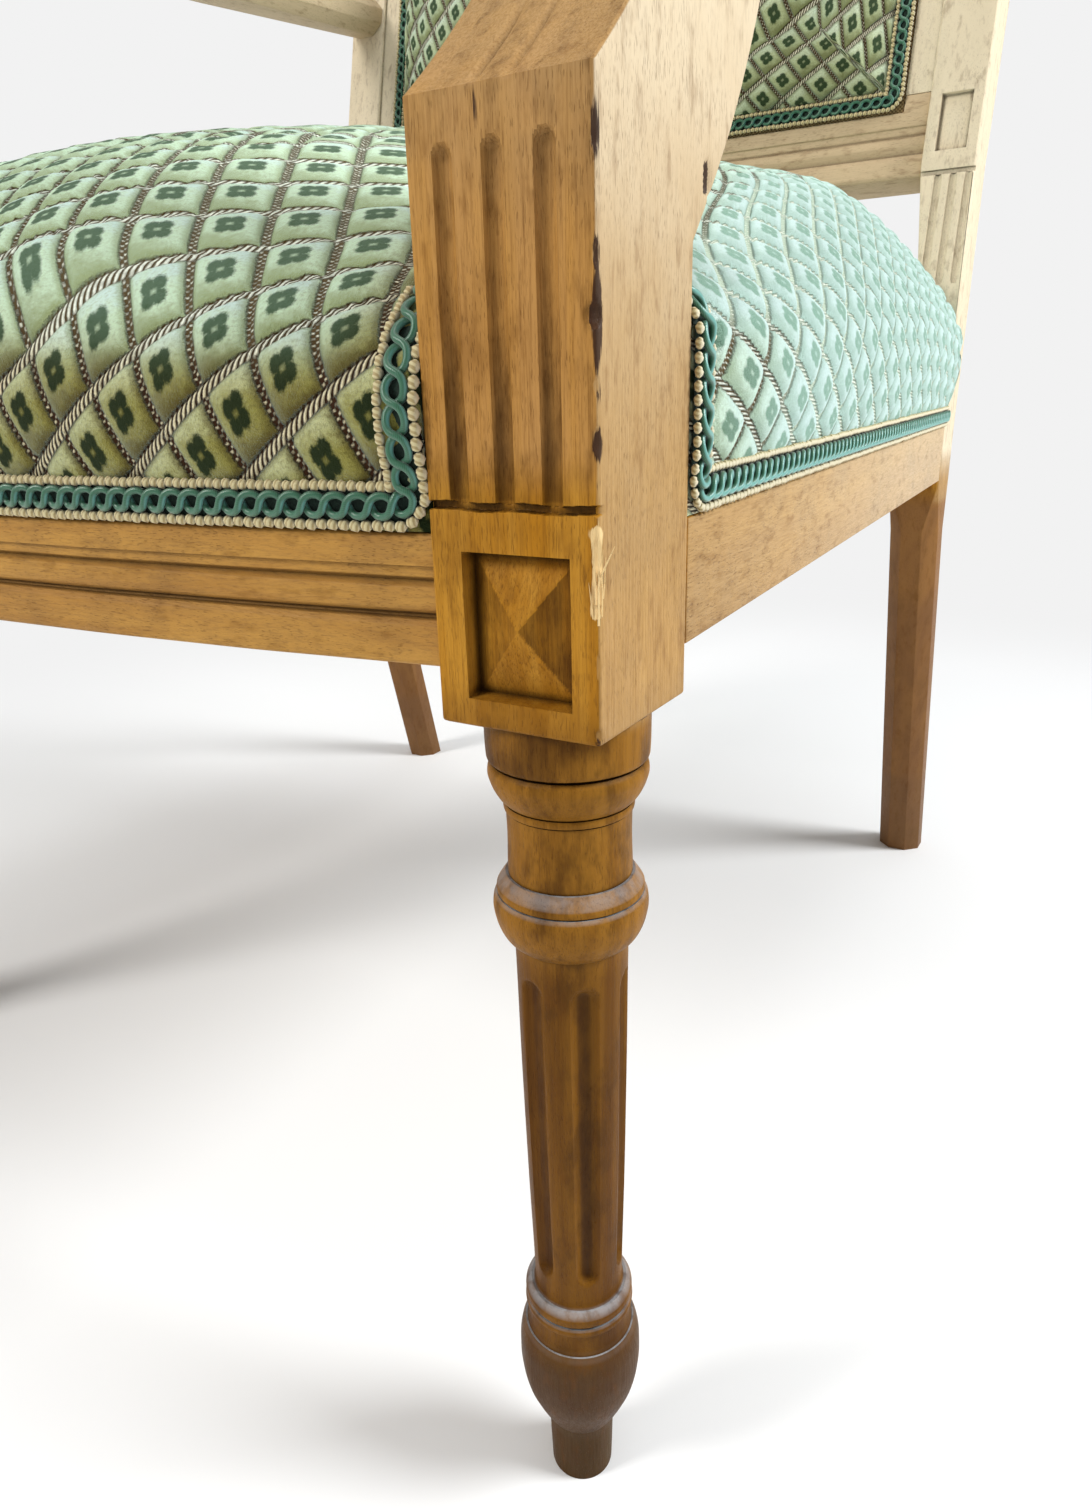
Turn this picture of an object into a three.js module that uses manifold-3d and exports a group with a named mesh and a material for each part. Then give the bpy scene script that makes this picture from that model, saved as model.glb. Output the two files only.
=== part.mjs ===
// A fauteuil: an upholstered open armchair with a beech frame, turned and fluted front legs,
// swept arm supports, a reclined square back, and a sprung seat covered in a pile fabric.
// Millimetres, +Z up. The chair faces -Y and X = 0 is its centre plane. Sizes along Y are counted
// from the front face of the front posts, and the finished group is moved to the middle of its plan.

import * as THREE from 'three';
import { mergeVertices } from 'three/addons/utils/BufferGeometryUtils.js';
import Module from 'manifold-3d';

const wasm = await Module();
wasm.setup();

// General fits
const fitGap = 0.3;
const overrun = 30;
const weldDistance = 0.0001;

// Levels of the seat frame, which every other height is counted from
const seatRailBottom = 304;
const railHeight = 34.5;
const railLip = 13;
const seatLedge = seatRailBottom + railHeight;
const seatRailTop = seatLedge + railLip;

// Front posts: block, fluted die and swept arm support in one piece with the turned leg
const frontWidth = 580;
const postWidth = 47.2;
const postDepth = 50.7;
const blockDrop = 14;
const blockBottom = seatRailBottom - blockDrop;
const kerfRise = 6;
const kerfBottom = seatLedge + kerfRise;
const kerfHeight = 3;
const kerfDepth = 1.6;
const dieHeight = 86.9;
const dieTop = kerfBottom + dieHeight;
const supportRearDrop = 27.4;
const supportRearStart = dieTop - supportRearDrop;
const armClearHeight = 287.5;
const supportTop = seatLedge + armClearHeight;
const supportSweep = 79;
const supportHeadHeight = 61;
const supportWaistHeight = supportTop - supportHeadHeight;
const supportWaistDepth = 38;
const supportTopSetback = 70;
const supportTopDepth = 38;
const supportTopWidth = 36;
const supportFrontShares = [[0.46, 0.21], [1, 0.56]];
const supportRearShares = [[0.34, 0.16], [1, 0.47]];
const supportSteps = 8;

// Flutes on the posts and stiles
const fluteRadius = 2.6;
const fluteDepth = 2.1;
const flutePitch = 12.9;
const fluteTopMargin = 9.9;
const fluteTop = dieTop - fluteTopMargin;
const fluteEndLength = 3;
const fluteSides = 8;
const fluteTipShare = 0.6;
const flutesAcross = 3;

// Sunk diamond-point panels
const panelWidth = 29.7;
const panelMargin = 8;
const panelHeight = 36.5;
const panelBottom = blockBottom + panelMargin;
const panelTop = panelBottom + panelHeight;
const panelDepth = 3.8;
const panelPointDepth = 0.6;

// Turned leg: heights are shares of the block's bottom height, radii are shares of the drum's radius
const drumRadius = 23;
const legFlutes = 6;
const legStepsPerFlute = 4;
const legFlutePhaseDegrees = 12;
const legFluteDepth = 2;
const legFootShares = [
  [0, 0.47], [0.07, 0.495], [0.086, 0.54], [0.104, 0.68], [0.128, 0.8], [0.158, 0.883],
  [0.191, 0.909], [0.222, 0.872], [0.241, 0.787], [0.272, 0.8], [0.293, 0.622],
];
const legFluteRowShares = [[0.3, 0.613, 0], [0.328, 0.62, 1], [0.672, 0.723, 1], [0.7, 0.73, 0]];
const legHeadShares = [
  [0.748, 0.745], [0.757, 0.852], [0.776, 0.965], [0.797, 0.996], [0.812, 0.925], [0.828, 0.87],
  [0.836, 0.785], [0.893, 0.783], [0.907, 0.817], [0.919, 0.91], [0.938, 0.99], [0.953, 0.975], [1, 1],
];

// Seat frame rails
const railThickness = 26;
const rabbetDepth = 4;
const frontRailInset = 2;
const frontBow = 17.3;
const frontStations = 8;
// Front moulding: height as a share of the rail's height up to the ledge, depth as a share of the rabbet
const railMouldingShares = [
  [0, 0.3], [0.05, 0.05], [0.28, 0.05], [0.35, 0.4], [0.37, 0.85], [0.41, 0.55], [0.49, 0.15], [0.6, 0.15],
  [0.64, 0.7], [0.67, 0.4], [0.76, 0.3], [0.77, 0],
];

// Rear stiles with the rear legs
const stileSetback = 524.9;
const rearWidth = 533.8;
const stileWidth = 32;
const stileDepth = 34;
const stileUpperWidth = 34;
const backWidth = 525;
const backAngleDegrees = 13;
const rearFootSetback = 612.5;
const rearFootHalfWidth = 250.6;
const rearLegWidth = 31;
const rearLegEase = 9;
const rearLegShare = 0.9;
const stileEase = 1.2;
const slopeDrop = 3.9;
const slopeStart = seatLedge - slopeDrop;
const stileWideningRise = 105.4;
const stileWideningStart = slopeStart + stileWideningRise;

// Back frame, measured along the slope of the stiles from the level where they start to recline
const backRailBottom = 161.5;
const backRailHeight = 40.5;
const backPanelHeight = 324;
const crestHeight = 46;
const backRailLap = 10;
const crestLap = 12;
const backPanelBottom = backRailBottom + backRailHeight;
const backRailTop = backPanelBottom + backRailLap;
const backPanelTop = backPanelBottom + backPanelHeight;
const crestBottom = backPanelTop - crestLap;
const crestTop = backPanelTop + crestHeight;
const crestArch = 10;
const crestStations = 8;
const cheekReveal = 16.5;
const cheekWidth = 25;
const backFaceInset = 3;
const backRailDepth = 28;
const frontRabbet = 8;
const rearRabbet = 3;
const backPanelRecessWidth = 19;
const backPanelRecessHeight = 34;
const backPanelRecessRise = 13;
const stileFluteLength = 70;

// Joints of the frame
const tenonLength = 15;
const tenonThickness = 8;
const tenonShoulder = 5;
const tenonRoot = 12;
const armTenonWidth = 16;
const armTenonThickness = 10;

// Arms
const armThickness = 27;
const armWidth = 46;
const armRearWidth = 30;
const armRise = 24;
const armOutwardBow = 9;
const armScrollRadius = 20;
const armScrollWidth = 42;
const armScrollSides = 20;
const armLevelEnd = 130;
const armEdgeEaseShare = 0.3;
const armNarrowingShare = 0.55;
const armScrollLead = 5;
const armStations = 10;

// Arm pads
const padStart = 165;
const padLength = 235;
const padWidth = 39;
const padCrown = 24;
const padEdgeHeight = 10;
const padPoints = 28;
const padCornerPower = 5;
const padGimpThickness = 2;
const padGimpHeight = 8.5;
const padRingShares = [[0, 1], [0.35, 0.97], [0.62, 0.88], [0.82, 0.7], [0.95, 0.42], [1, 0.12]];

// Sprung seat upholstery
const seatShoulderRise = 100;
const seatCrown = 56;
const seatCrownSetback = 370;
const seatCrownReach = 372;
const seatSideRadius = 63;
const seatFrontRadius = 154;
const seatRearRadius = 60;
const seatBulge = 6.7;
const seatPower = 3;
const seatCrownPower = 1.7;
const coverThickness = 3;
const seatEdgeShares = [0.25, 0.42, 0.58, 0.73, 0.86, 0.95, 1];
const seatCrownShares = [0.8, 0.55, 0.3, 0.08];
const seatInnerEdgeShares = [0.42, 0.73, 0.93, 1];
const seatInnerCrownShares = [0.6, 0.15];
const seatRoundShare = 0.9;
const seatRoundPower = 4;
const seatPointsPerSide = 10;

// Gimp braid
const gimpHeight = 12.5;
const gimpThickness = 2.5;
const gimpUprightRise = 55.5;

// Seat webbing, springs, canvas and dust cover
const strapWidth = 60;
const strapThickness = 1.5;
const strapSpacing = 122;
const strapRowSpacing = 125;
const strapMiddleSetback = 275;
const strapEndInset = 8;
const springWireRadius = 1.9;
const springEndRadius = 35;
const springWaistRadius = 23;
const springTurns = 4;
const springStepsPerTurn = 6;
const springSides = 3;
const canvasThickness = 1.5;
const canvasRise = 61.5;
const canvasTop = seatLedge + canvasRise;
const canvasEdge = 95;
const canvasPointsPerSide = 6;
const canvasSlopeShares = [[0, 0], [0.5, 0.7], [1, 1]];
const canvasRoundShare = 0.3;
const canvasRimLap = 10;
const dustCoverThickness = 1.3;
const dustCoverInset = 7;

// Corner blocks and their screws
const cornerBlockReach = 58;
const cornerBlockRise = 5;
const cornerBlockDrop = 4.5;
const cornerBlockBottom = seatRailBottom + cornerBlockRise;
const cornerBlockTop = seatRailTop - cornerBlockDrop;
const screwRadius = 2.2;
const screwHeadRadius = 4.4;
const screwHeadThickness = 3;
const screwLength = 34;
const screwSides = 10;
const screwRise = 20;
const screwHeight = cornerBlockBottom + screwRise;

// Back upholstery, depths counted from the stile's front face towards the rear
const backCrown = 40;
const backShoulder = 20;
const backShoulderRadius = 26;
const backMargin = 12.5;
const backPointsPerSide = 8;
const backEdgeShares = [0, 0.4, 0.75, 0.93, 1];
const backCrownShares = [0.78, 0.5, 0.25, 0.06];
const backInnerEdgeShares = [0, 0.75, 1];
const backInnerCrownShares = [0.6, 0.15];
const backPower = 2.4;
const backRoundShare = 0.5;
const backStrapSpacing = 110;
const outsideBulge = 2;

// Finishes, from the photograph
const finishes = {
  wood: { color: 0xb98a55, roughness: 0.5, metalness: 0 },
  hiddenWood: { color: 0xc9a577, roughness: 0.75, metalness: 0 },
  velvet: { color: 0x8f9b5a, roughness: 0.9, metalness: 0 },
  gimp: { color: 0x2f7a66, roughness: 0.6, metalness: 0 },
  jute: { color: 0xb39a6b, roughness: 0.95, metalness: 0 },
  stuffing: { color: 0x8a7152, roughness: 1, metalness: 0 },
  steel: { color: 0x9a9a98, roughness: 0.4, metalness: 1 },
  dustCloth: { color: 0x3b3833, roughness: 0.95, metalness: 0 },
};

// Places that several pieces share
const frontHalf = frontWidth / 2;
const rearHalf = rearWidth / 2;
const postInner = frontHalf - postWidth;
const stileInner = rearHalf - stileWidth;
const backAngle = THREE.MathUtils.degToRad(backAngleDegrees);
const backSlope = Math.tan(backAngle);
const seatFrontFace = frontRailInset;
const seatRearFace = stileSetback + stileDepth - frontRailInset;
const backFrame = new THREE.Matrix4().makeBasis(
  new THREE.Vector3(1, 0, 0),
  new THREE.Vector3(0, Math.cos(backAngle), -Math.sin(backAngle)),
  new THREE.Vector3(0, Math.sin(backAngle), Math.cos(backAngle)),
).setPosition(0, stileSetback, slopeStart);
const stileUpperInner = backWidth / 2 - stileUpperWidth;
const backPanelHalfWidth = stileUpperInner - cheekReveal;

function stileOuterAt(height) {
  const share = THREE.MathUtils.clamp((height - slopeStart) / backRailBottom, 0, 1);
  return THREE.MathUtils.lerp(rearHalf, backWidth / 2, share);
}

function stileInnerAt(height) {
  const share = THREE.MathUtils.clamp(
    (height - stileWideningStart) / (slopeStart + backRailBottom - stileWideningStart), 0, 1);
  return THREE.MathUtils.lerp(stileInner, stileUpperInner, share);
}

function stileFrontAt(height) {
  return stileSetback + Math.max(0, height - slopeStart) * backSlope;
}

function sideHalfAt(setback) {
  return THREE.MathUtils.lerp(frontHalf, rearHalf, (setback - postDepth) / (stileSetback - postDepth));
}

function bowAt(x) {
  return -frontBow * (1 - (x / postInner) ** 2);
}

// Geometry helpers

function closed(geometry) {
  const bare = geometry.clone();
  bare.deleteAttribute('normal');
  bare.deleteAttribute('uv');
  return mergeVertices(bare, weldDistance);
}

function solid(geometry) {
  const bare = closed(geometry);
  const vertProperties = Float32Array.from(bare.attributes.position.array);
  const triVerts = Uint32Array.from(bare.index.array);
  return new wasm.Manifold(new wasm.Mesh({ numProp: 3, vertProperties, triVerts }));
}

function geometryOf(body) {
  const mesh = body.getMesh();
  const geometry = new THREE.BufferGeometry();
  geometry.setAttribute('position', new THREE.BufferAttribute(mesh.vertProperties, 3));
  geometry.setIndex(new THREE.BufferAttribute(mesh.triVerts, 1));
  return geometry;
}

function cut(geometry, ...cutters) {
  return geometryOf(cutters.reduce((body, cutter) => body.subtract(solid(cutter)), solid(geometry)));
}

function joined(geometry, ...others) {
  return geometryOf(others.reduce((body, other) => body.add(solid(other)), solid(geometry)));
}

function box([x0, x1], [y0, y1], [z0, z1]) {
  const geometry = new THREE.BoxGeometry(x1 - x0, y1 - y0, z1 - z0);
  return geometry.translate((x0 + x1) / 2, (y0 + y1) / 2, (z0 + z1) / 2);
}

function prism(points, length) {
  const shape = new THREE.Shape(points.map(([u, v]) => new THREE.Vector2(u, v)));
  return new THREE.ExtrudeGeometry(shape, { depth: length, bevelEnabled: false });
}

// A prism whose outline is given as [y, z] points, from x0 to x1
function prismAlongX(points, x0, x1) {
  const turn = new THREE.Matrix4().makeBasis(
    new THREE.Vector3(0, 1, 0), new THREE.Vector3(0, 0, 1), new THREE.Vector3(1, 0, 0)).setPosition(x0, 0, 0);
  return prism(points, x1 - x0).applyMatrix4(turn);
}

// A prism whose outline is given as [x, y] points, from z0 to z1
function prismUp(points, z0, z1) {
  return prism(points, z1 - z0).translate(0, 0, z0);
}

function signedVolume(positions, faces) {
  const corners = [new THREE.Vector3(), new THREE.Vector3(), new THREE.Vector3()];
  let total = 0;
  for (let i = 0; i < faces.length; i += 3) {
    corners.forEach((corner, k) => corner.copy(positions[faces[i + k]]));
    total += corners[0].dot(corners[1].cross(corners[2]));
  }
  return total;
}

function facesToGeometry(positions, faces) {
  const outward = signedVolume(positions, faces) > 0;
  const index = outward ? faces : faces.toReversed();
  const geometry = new THREE.BufferGeometry();
  const flat = positions.flatMap((p) => [p.x, p.y, p.z]);
  geometry.setAttribute('position', new THREE.Float32BufferAttribute(flat, 3));
  geometry.setIndex(index);
  return geometry;
}

// A closed skin over rings with the same number of points each. The ends are closed by a fan about
// their middle, or by the triangles of capOutline, or the last ring joins the first one.
function loft(rings, { capOutline = null, endless = false } = {}) {
  const count = rings[0].length;
  const positions = rings.flat();
  const faces = [];
  const spans = endless ? rings.length : rings.length - 1;
  for (let r = 0; r < spans; r += 1) {
    const next = (r + 1) % rings.length;
    for (let i = 0; i < count; i += 1) {
      const j = (i + 1) % count;
      const [a, b, c, d] = [r * count + i, r * count + j, next * count + i, next * count + j];
      faces.push(a, b, d, a, d, c);
    }
  }
  if (endless) {
    return facesToGeometry(positions, faces);
  }
  const last = (rings.length - 1) * count;
  if (capOutline) {
    const flat = capOutline.map(([u, v]) => new THREE.Vector2(u, v));
    const sign = THREE.ShapeUtils.isClockWise(flat) ? -1 : 1;
    for (const [a, b, c] of THREE.ShapeUtils.triangulateShape(flat, [])) {
      const [p, q] = sign > 0 ? [b, c] : [c, b];
      faces.push(a, q, p, last + a, last + p, last + q);
    }
  } else {
    const middles = [0, last].map((start) => {
      const middle = new THREE.Vector3();
      for (let i = 0; i < count; i += 1) {
        middle.addScaledVector(positions[start + i], 1 / count);
      }
      return positions.push(middle) - 1;
    });
    for (let i = 0; i < count; i += 1) {
      const j = (i + 1) % count;
      faces.push(middles[0], j, i, middles[1], last + i, last + j);
    }
  }
  return facesToGeometry(positions, faces);
}

function mirrored(geometry) {
  const twin = geometry.clone().scale(-1, 1, 1);
  const index = twin.index ? Array.from(twin.index.array) : [...Array(twin.attributes.position.count).keys()];
  twin.setIndex(index.toReversed());
  return twin;
}

function cubic(start, controls, end, share) {
  const [p0, p1, p2, p3] = [start, ...controls, end].map(([y, z]) => new THREE.Vector2(y, z));
  return new THREE.CubicBezierCurve(p0, p1, p2, p3).getPoint(share);
}

// Common wood details

// A round-ended groove, fluteDepth deep, in a face that looks towards -Y at y = 0
function fluteCutter(x, z0, z1) {
  const rows = [
    [z0, fluteTipShare], [z0 + fluteEndLength, 1], [z1 - fluteEndLength, 1], [z1, fluteTipShare]];
  const rings = rows.map(([z, share]) => Array.from({ length: fluteSides }, (_, i) => {
    const turn = 2 * Math.PI * i / fluteSides;
    const across = x + fluteRadius * share * Math.cos(turn);
    const deep = fluteDepth - fluteRadius + fluteRadius * share * Math.sin(turn);
    return new THREE.Vector3(across, deep, z);
  }));
  return loft(rings);
}

// The hollow of a sunk panel, less its four-sided point, in a face that looks towards -Y at y = 0
function panelCutter(x, width, z0, z1) {
  const half = width / 2;
  const hollow = box([x - half, x + half], [-overrun, panelDepth], [z0, z1]);
  const corners = [[-half, z0], [half, z0], [half, z1], [-half, z1]];
  const foot = corners.map(([dx, z]) => new THREE.Vector3(x + dx, panelDepth + fitGap, z));
  const apex = new THREE.Vector3(x, panelPointDepth, (z0 + z1) / 2);
  const faces = [0, 1, 4, 1, 2, 4, 2, 3, 4, 3, 0, 4, 1, 0, 2, 2, 0, 3];
  const point = facesToGeometry([...foot, apex], faces);
  return cut(hollow, point);
}

function grownBox(ranges, gap) {
  return box(...ranges.map(([a, b]) => [a - gap, b + gap]));
}

// Tenons of the seat frame, as the ranges that they fill on the right side of the chair
const frontTenonMiddle = seatFrontFace + railThickness / 2;
const frontTenon = [
  [postInner - tenonRoot, postInner + tenonLength],
  [frontTenonMiddle - tenonThickness / 2, frontTenonMiddle + tenonThickness / 2],
  [seatRailBottom + tenonShoulder, seatLedge - tenonShoulder],
];
const sideFrontTenon = [
  [frontHalf - railThickness / 2 - tenonThickness / 2, frontHalf - railThickness / 2 + tenonThickness / 2],
  [postDepth - tenonLength, postDepth + tenonRoot],
  [seatRailBottom + tenonShoulder, seatLedge - tenonShoulder],
];
const sideRearTenon = [
  [rearHalf - railThickness / 2 - tenonThickness / 2, rearHalf - railThickness / 2 + tenonThickness / 2],
  [stileSetback - tenonRoot, stileSetback + tenonLength],
  [seatRailBottom + tenonShoulder, seatLedge - tenonShoulder],
];
const backTenonMiddle = stileSetback + tenonLength + tenonThickness / 2 + tenonShoulder;
const backTenon = [
  [stileInner - tenonRoot, stileInner + tenonLength],
  [backTenonMiddle - tenonThickness / 2, backTenonMiddle + tenonThickness / 2],
  [seatRailBottom + tenonShoulder, seatLedge - tenonShoulder],
];
const postMiddle = frontHalf - postWidth / 2;
const supportTopMiddle = supportTopSetback + supportTopDepth / 2;
const armFrontTenon = [
  [postMiddle - armTenonThickness / 2, postMiddle + armTenonThickness / 2],
  [supportTopMiddle - armTenonWidth / 2, supportTopMiddle + armTenonWidth / 2],
  [supportTop - tenonRoot, supportTop + tenonLength],
];

// Front post

function legRing(heightShare, radiusShare, depthShare) {
  const steps = legFlutes * legStepsPerFlute;
  const phase = THREE.MathUtils.degToRad(legFlutePhaseDegrees);
  return Array.from({ length: steps }, (_, i) => {
    const turn = phase + 2 * Math.PI * i / steps;
    const hollow = i % legStepsPerFlute === 0 ? legFluteDepth * depthShare : 0;
    const radius = drumRadius * radiusShare - hollow;
    const x = postMiddle + radius * Math.cos(turn);
    return new THREE.Vector3(x, postDepth / 2 + radius * Math.sin(turn), blockBottom * heightShare);
  });
}

function turnedLeg() {
  const plain = ([height, radius]) => legRing(height, radius, 0);
  const rings = [
    ...legFootShares.map(plain),
    ...legFluteRowShares.map((row) => legRing(...row)),
    ...legHeadShares.map(plain),
    legRing((blockBottom + tenonLength) / blockBottom, 1, 0),
  ];
  return loft(rings);
}

// Front and rear edges of the swept support, as functions of a share of its run
function supportEdges(share) {
  const front = [0, dieTop];
  const frontEnd = [supportSweep, supportWaistHeight];
  const rear = [postDepth, supportRearStart];
  const rearEnd = [supportSweep + supportWaistDepth, supportWaistHeight];
  const between = (start, end) => ([y, z]) => [
    THREE.MathUtils.lerp(start[0], end[0], y), THREE.MathUtils.lerp(start[1], end[1], z)];
  return [
    cubic(front, supportFrontShares.map(between(front, frontEnd)), frontEnd, share),
    cubic(rear, supportRearShares.map(between(rear, rearEnd)), rearEnd, share),
  ];
}

function supportOutlines() {
  const pairs = [[new THREE.Vector2(0, blockBottom), new THREE.Vector2(postDepth, blockBottom)]];
  for (let i = 0; i <= supportSteps; i += 1) {
    pairs.push(supportEdges(i / supportSteps));
  }
  pairs.push([
    new THREE.Vector2(supportTopSetback, supportTop),
    new THREE.Vector2(supportTopSetback + supportTopDepth, supportTop),
  ]);
  return pairs;
}

function supportBody() {
  const rings = supportOutlines().map(([front, rear]) => {
    const share = THREE.MathUtils.clamp((front.y - dieTop) / (supportTop - dieTop), 0, 1);
    const half = THREE.MathUtils.lerp(postWidth, supportTopWidth, share) / 2;
    const corners = [[-half, front], [half, front], [half, rear], [-half, rear]];
    return corners.map(([dx, edge]) => new THREE.Vector3(postMiddle + dx, edge.x, edge.y));
  });
  return loft(rings);
}

function frontPost() {
  const flutes = Array.from({ length: flutesAcross }, (_, i) => {
    const x = postMiddle + (i - (flutesAcross - 1) / 2) * flutePitch;
    return fluteCutter(x, kerfBottom - fluteEndLength + kerfHeight / 2, fluteTop);
  });
  const kerf = box(
    [postInner - overrun, frontHalf + overrun], [-overrun, kerfDepth], [kerfBottom, kerfBottom + kerfHeight]);
  const armTenon = box(...armFrontTenon);
  const body = joined(supportBody(), turnedLeg(), armTenon);
  const panel = panelCutter(postMiddle, panelWidth, panelBottom, panelTop);
  const mortises = [frontTenon, sideFrontTenon].map((ranges) => grownBox(ranges, fitGap));
  return cut(body, kerf, ...flutes, panel, ...mortises);
}

// Seat rails

function frontRail() {
  const outline = [
    ...railMouldingShares.map(([up, deep]) => [deep * rabbetDepth, seatRailBottom + up * railHeight]),
    [0, seatLedge], [rabbetDepth, seatLedge], [rabbetDepth, seatRailTop],
    [railThickness, seatRailTop], [railThickness, seatRailBottom],
  ];
  const half = postInner - fitGap;
  const rings = Array.from({ length: frontStations + 1 }, (_, i) => {
    const x = THREE.MathUtils.lerp(-half, half, i / frontStations);
    return outline.map(([deep, z]) => new THREE.Vector3(x, seatFrontFace + bowAt(x) + deep, z));
  });
  const bar = loft(rings, { capOutline: outline });
  const tenon = box(...frontTenon);
  return joined(bar, tenon, mirrored(tenon));
}

// The side rail lies flush with the post's and the stile's outer faces
function sideRail() {
  const outline = [
    [0, seatRailBottom], [0, seatLedge], [rabbetDepth, seatLedge], [rabbetDepth, seatRailTop],
    [railThickness, seatRailTop], [railThickness, seatRailBottom],
  ];
  const rings = [postDepth + fitGap, stileSetback - fitGap].map((y) => (
    outline.map(([deep, z]) => new THREE.Vector3(sideHalfAt(y) - deep, y, z))));
  return joined(loft(rings, { capOutline: outline }), box(...sideFrontTenon), box(...sideRearTenon));
}

function backSeatRail() {
  const half = stileInner - fitGap;
  const face = seatRearFace;
  const outline = [
    [face, seatRailBottom], [face, seatLedge],
    [face - rabbetDepth, seatLedge], [face - rabbetDepth, seatRailTop],
    [face - railThickness, seatRailTop], [face - railThickness, seatRailBottom],
  ];
  const tenon = box(...backTenon);
  return joined(prismAlongX(outline, -half, half), tenon, mirrored(tenon));
}

// Back frame, drawn in its own frame: x across, y into the back, z up the slope

function inBackFrame(geometry) {
  return geometry.clone().applyMatrix4(backFrame);
}

function upperStileMiddle(height) {
  const level = slopeStart + height * Math.cos(backAngle);
  return (stileOuterAt(level) + stileInnerAt(level)) / 2;
}

function rabbetCutters() {
  const half = backPanelHalfWidth + fitGap;
  const rear = backFaceInset + backRailDepth;
  const rows = [backPanelBottom, backPanelTop];
  return [
    inBackFrame(box([-half, half], [-overrun, frontRabbet], rows)),
    inBackFrame(box([-half, half], [rear - rearRabbet, rear + overrun], rows)),
  ];
}

function backTenonBox(z0, z1) {
  const middle = backFaceInset + backRailDepth / 2;
  return [
    [stileUpperInner - tenonRoot, stileUpperInner + tenonLength],
    [middle - tenonThickness / 2, middle + tenonThickness / 2],
    [z0 + tenonShoulder, z1 - tenonShoulder],
  ];
}

const lowerBackTenon = backTenonBox(backRailBottom, backPanelBottom);
const crestTenon = backTenonBox(backPanelTop, crestTop);

// A moulded bar of the back; rise maps a share of the moulding to a height up the slope at a place x
function mouldedBar(rise, far) {
  const half = stileUpperInner - fitGap;
  const rear = backFaceInset + backRailDepth;
  const rows = (x) => [
    ...railMouldingShares.map(([up, deep]) => [backFaceInset + deep * rabbetDepth, rise(up, x)]),
    [backFaceInset, far], [rear, far], [rear, rise(0, x)],
  ];
  const rings = Array.from({ length: crestStations + 1 }, (_, i) => {
    const x = THREE.MathUtils.lerp(-half, half, i / crestStations);
    return rows(x).map(([deep, z]) => new THREE.Vector3(x, deep, z));
  });
  return loft(rings, { capOutline: rows(half) });
}

function lowerBackRail() {
  const bar = mouldedBar((up) => backRailBottom + up * backRailHeight, backRailTop);
  const tenon = box(...lowerBackTenon);
  return cut(inBackFrame(joined(bar, tenon, mirrored(tenon))), ...rabbetCutters());
}

function crestRail() {
  const arch = (x) => crestArch * (1 - (x / stileUpperInner) ** 2);
  const bar = mouldedBar((up, x) => crestTop - up * crestHeight + (1 - up) * arch(x), crestBottom);
  const tenon = box(...crestTenon);
  return cut(inBackFrame(joined(bar, tenon, mirrored(tenon))), ...rabbetCutters());
}

function easedRing(x, y, z, halfX, halfY, ease, place = (p) => p) {
  const corners = [
    [-halfX + ease, -halfY], [halfX - ease, -halfY], [halfX, -halfY + ease], [halfX, halfY - ease],
    [halfX - ease, halfY], [-halfX + ease, halfY], [-halfX, halfY - ease], [-halfX, -halfY + ease],
  ];
  return corners.map(([dx, dy]) => place(new THREE.Vector3(x + dx, y + dy, z)));
}

function stileRing(height) {
  const outer = stileOuterAt(height);
  const inner = stileInnerAt(height);
  const halfDepth = stileDepth / 2;
  const middle = [(outer + inner) / 2, stileFrontAt(height) + halfDepth];
  return easedRing(...middle, height, (outer - inner) / 2, halfDepth, stileEase);
}

function stileBody() {
  const legHalf = rearLegWidth / 2;
  const kneeLevel = seatRailBottom - tenonShoulder;
  const kneeX = rearHalf - stileWidth / 2;
  const kneeY = stileSetback + stileDepth / 2;
  const footToKnee = (share, ease) => {
    const between = (foot, knee) => THREE.MathUtils.lerp(foot, knee, share);
    const middle = [between(rearFootHalfWidth, kneeX), between(rearFootSetback, kneeY)];
    const halves = [between(legHalf, stileWidth / 2), between(legHalf, stileDepth / 2)];
    return easedRing(...middle, kneeLevel * share, ...halves, ease);
  };
  return loft([
    footToKnee(0, rearLegEase), footToKnee(rearLegShare, rearLegEase), footToKnee(1, stileEase),
    stileRing(slopeStart), stileRing(stileWideningStart), stileRing(slopeStart + backRailBottom),
    inBackRing(crestTop),
  ]);
}

function inBackRing(height) {
  const half = stileUpperWidth / 2;
  const depth = stileDepth * Math.cos(backAngle);
  const place = (p) => p.applyMatrix4(backFrame);
  return easedRing(upperStileMiddle(height), depth / 2, height, half, depth / 2, stileEase, place);
}

// The inner cheek of the stile closes the back frame beside the padded panel
function stileCheek() {
  return box(
    [stileUpperInner - cheekWidth, stileUpperInner + tenonShoulder],
    [backFaceInset, backFaceInset + backRailDepth],
    [backRailTop + fitGap, crestBottom - fitGap]);
}

function stileCarving() {
  const kerfTop = backRailBottom + kerfHeight / 2;
  const details = [];
  const recess = (z0) => (
    panelCutter(upperStileMiddle(z0), backPanelRecessWidth, z0, z0 + backPanelRecessHeight));
  details.push(recess(backRailBottom + backPanelRecessRise));
  details.push(recess(crestTop - backPanelRecessRise - backPanelRecessHeight));
  details.push(box([0, frontHalf], [-overrun, kerfDepth], [kerfTop - kerfHeight, kerfTop]));
  const pitch = flutePitch * stileUpperWidth / postWidth;
  for (let i = 0; i < flutesAcross; i += 1) {
    const shift = (i - (flutesAcross - 1) / 2) * pitch;
    const low = kerfTop - stileFluteLength;
    details.push(fluteCutter(upperStileMiddle(low) + shift, low, kerfTop - kerfHeight / 2));
  }
  return details.map(inBackFrame);
}

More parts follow.
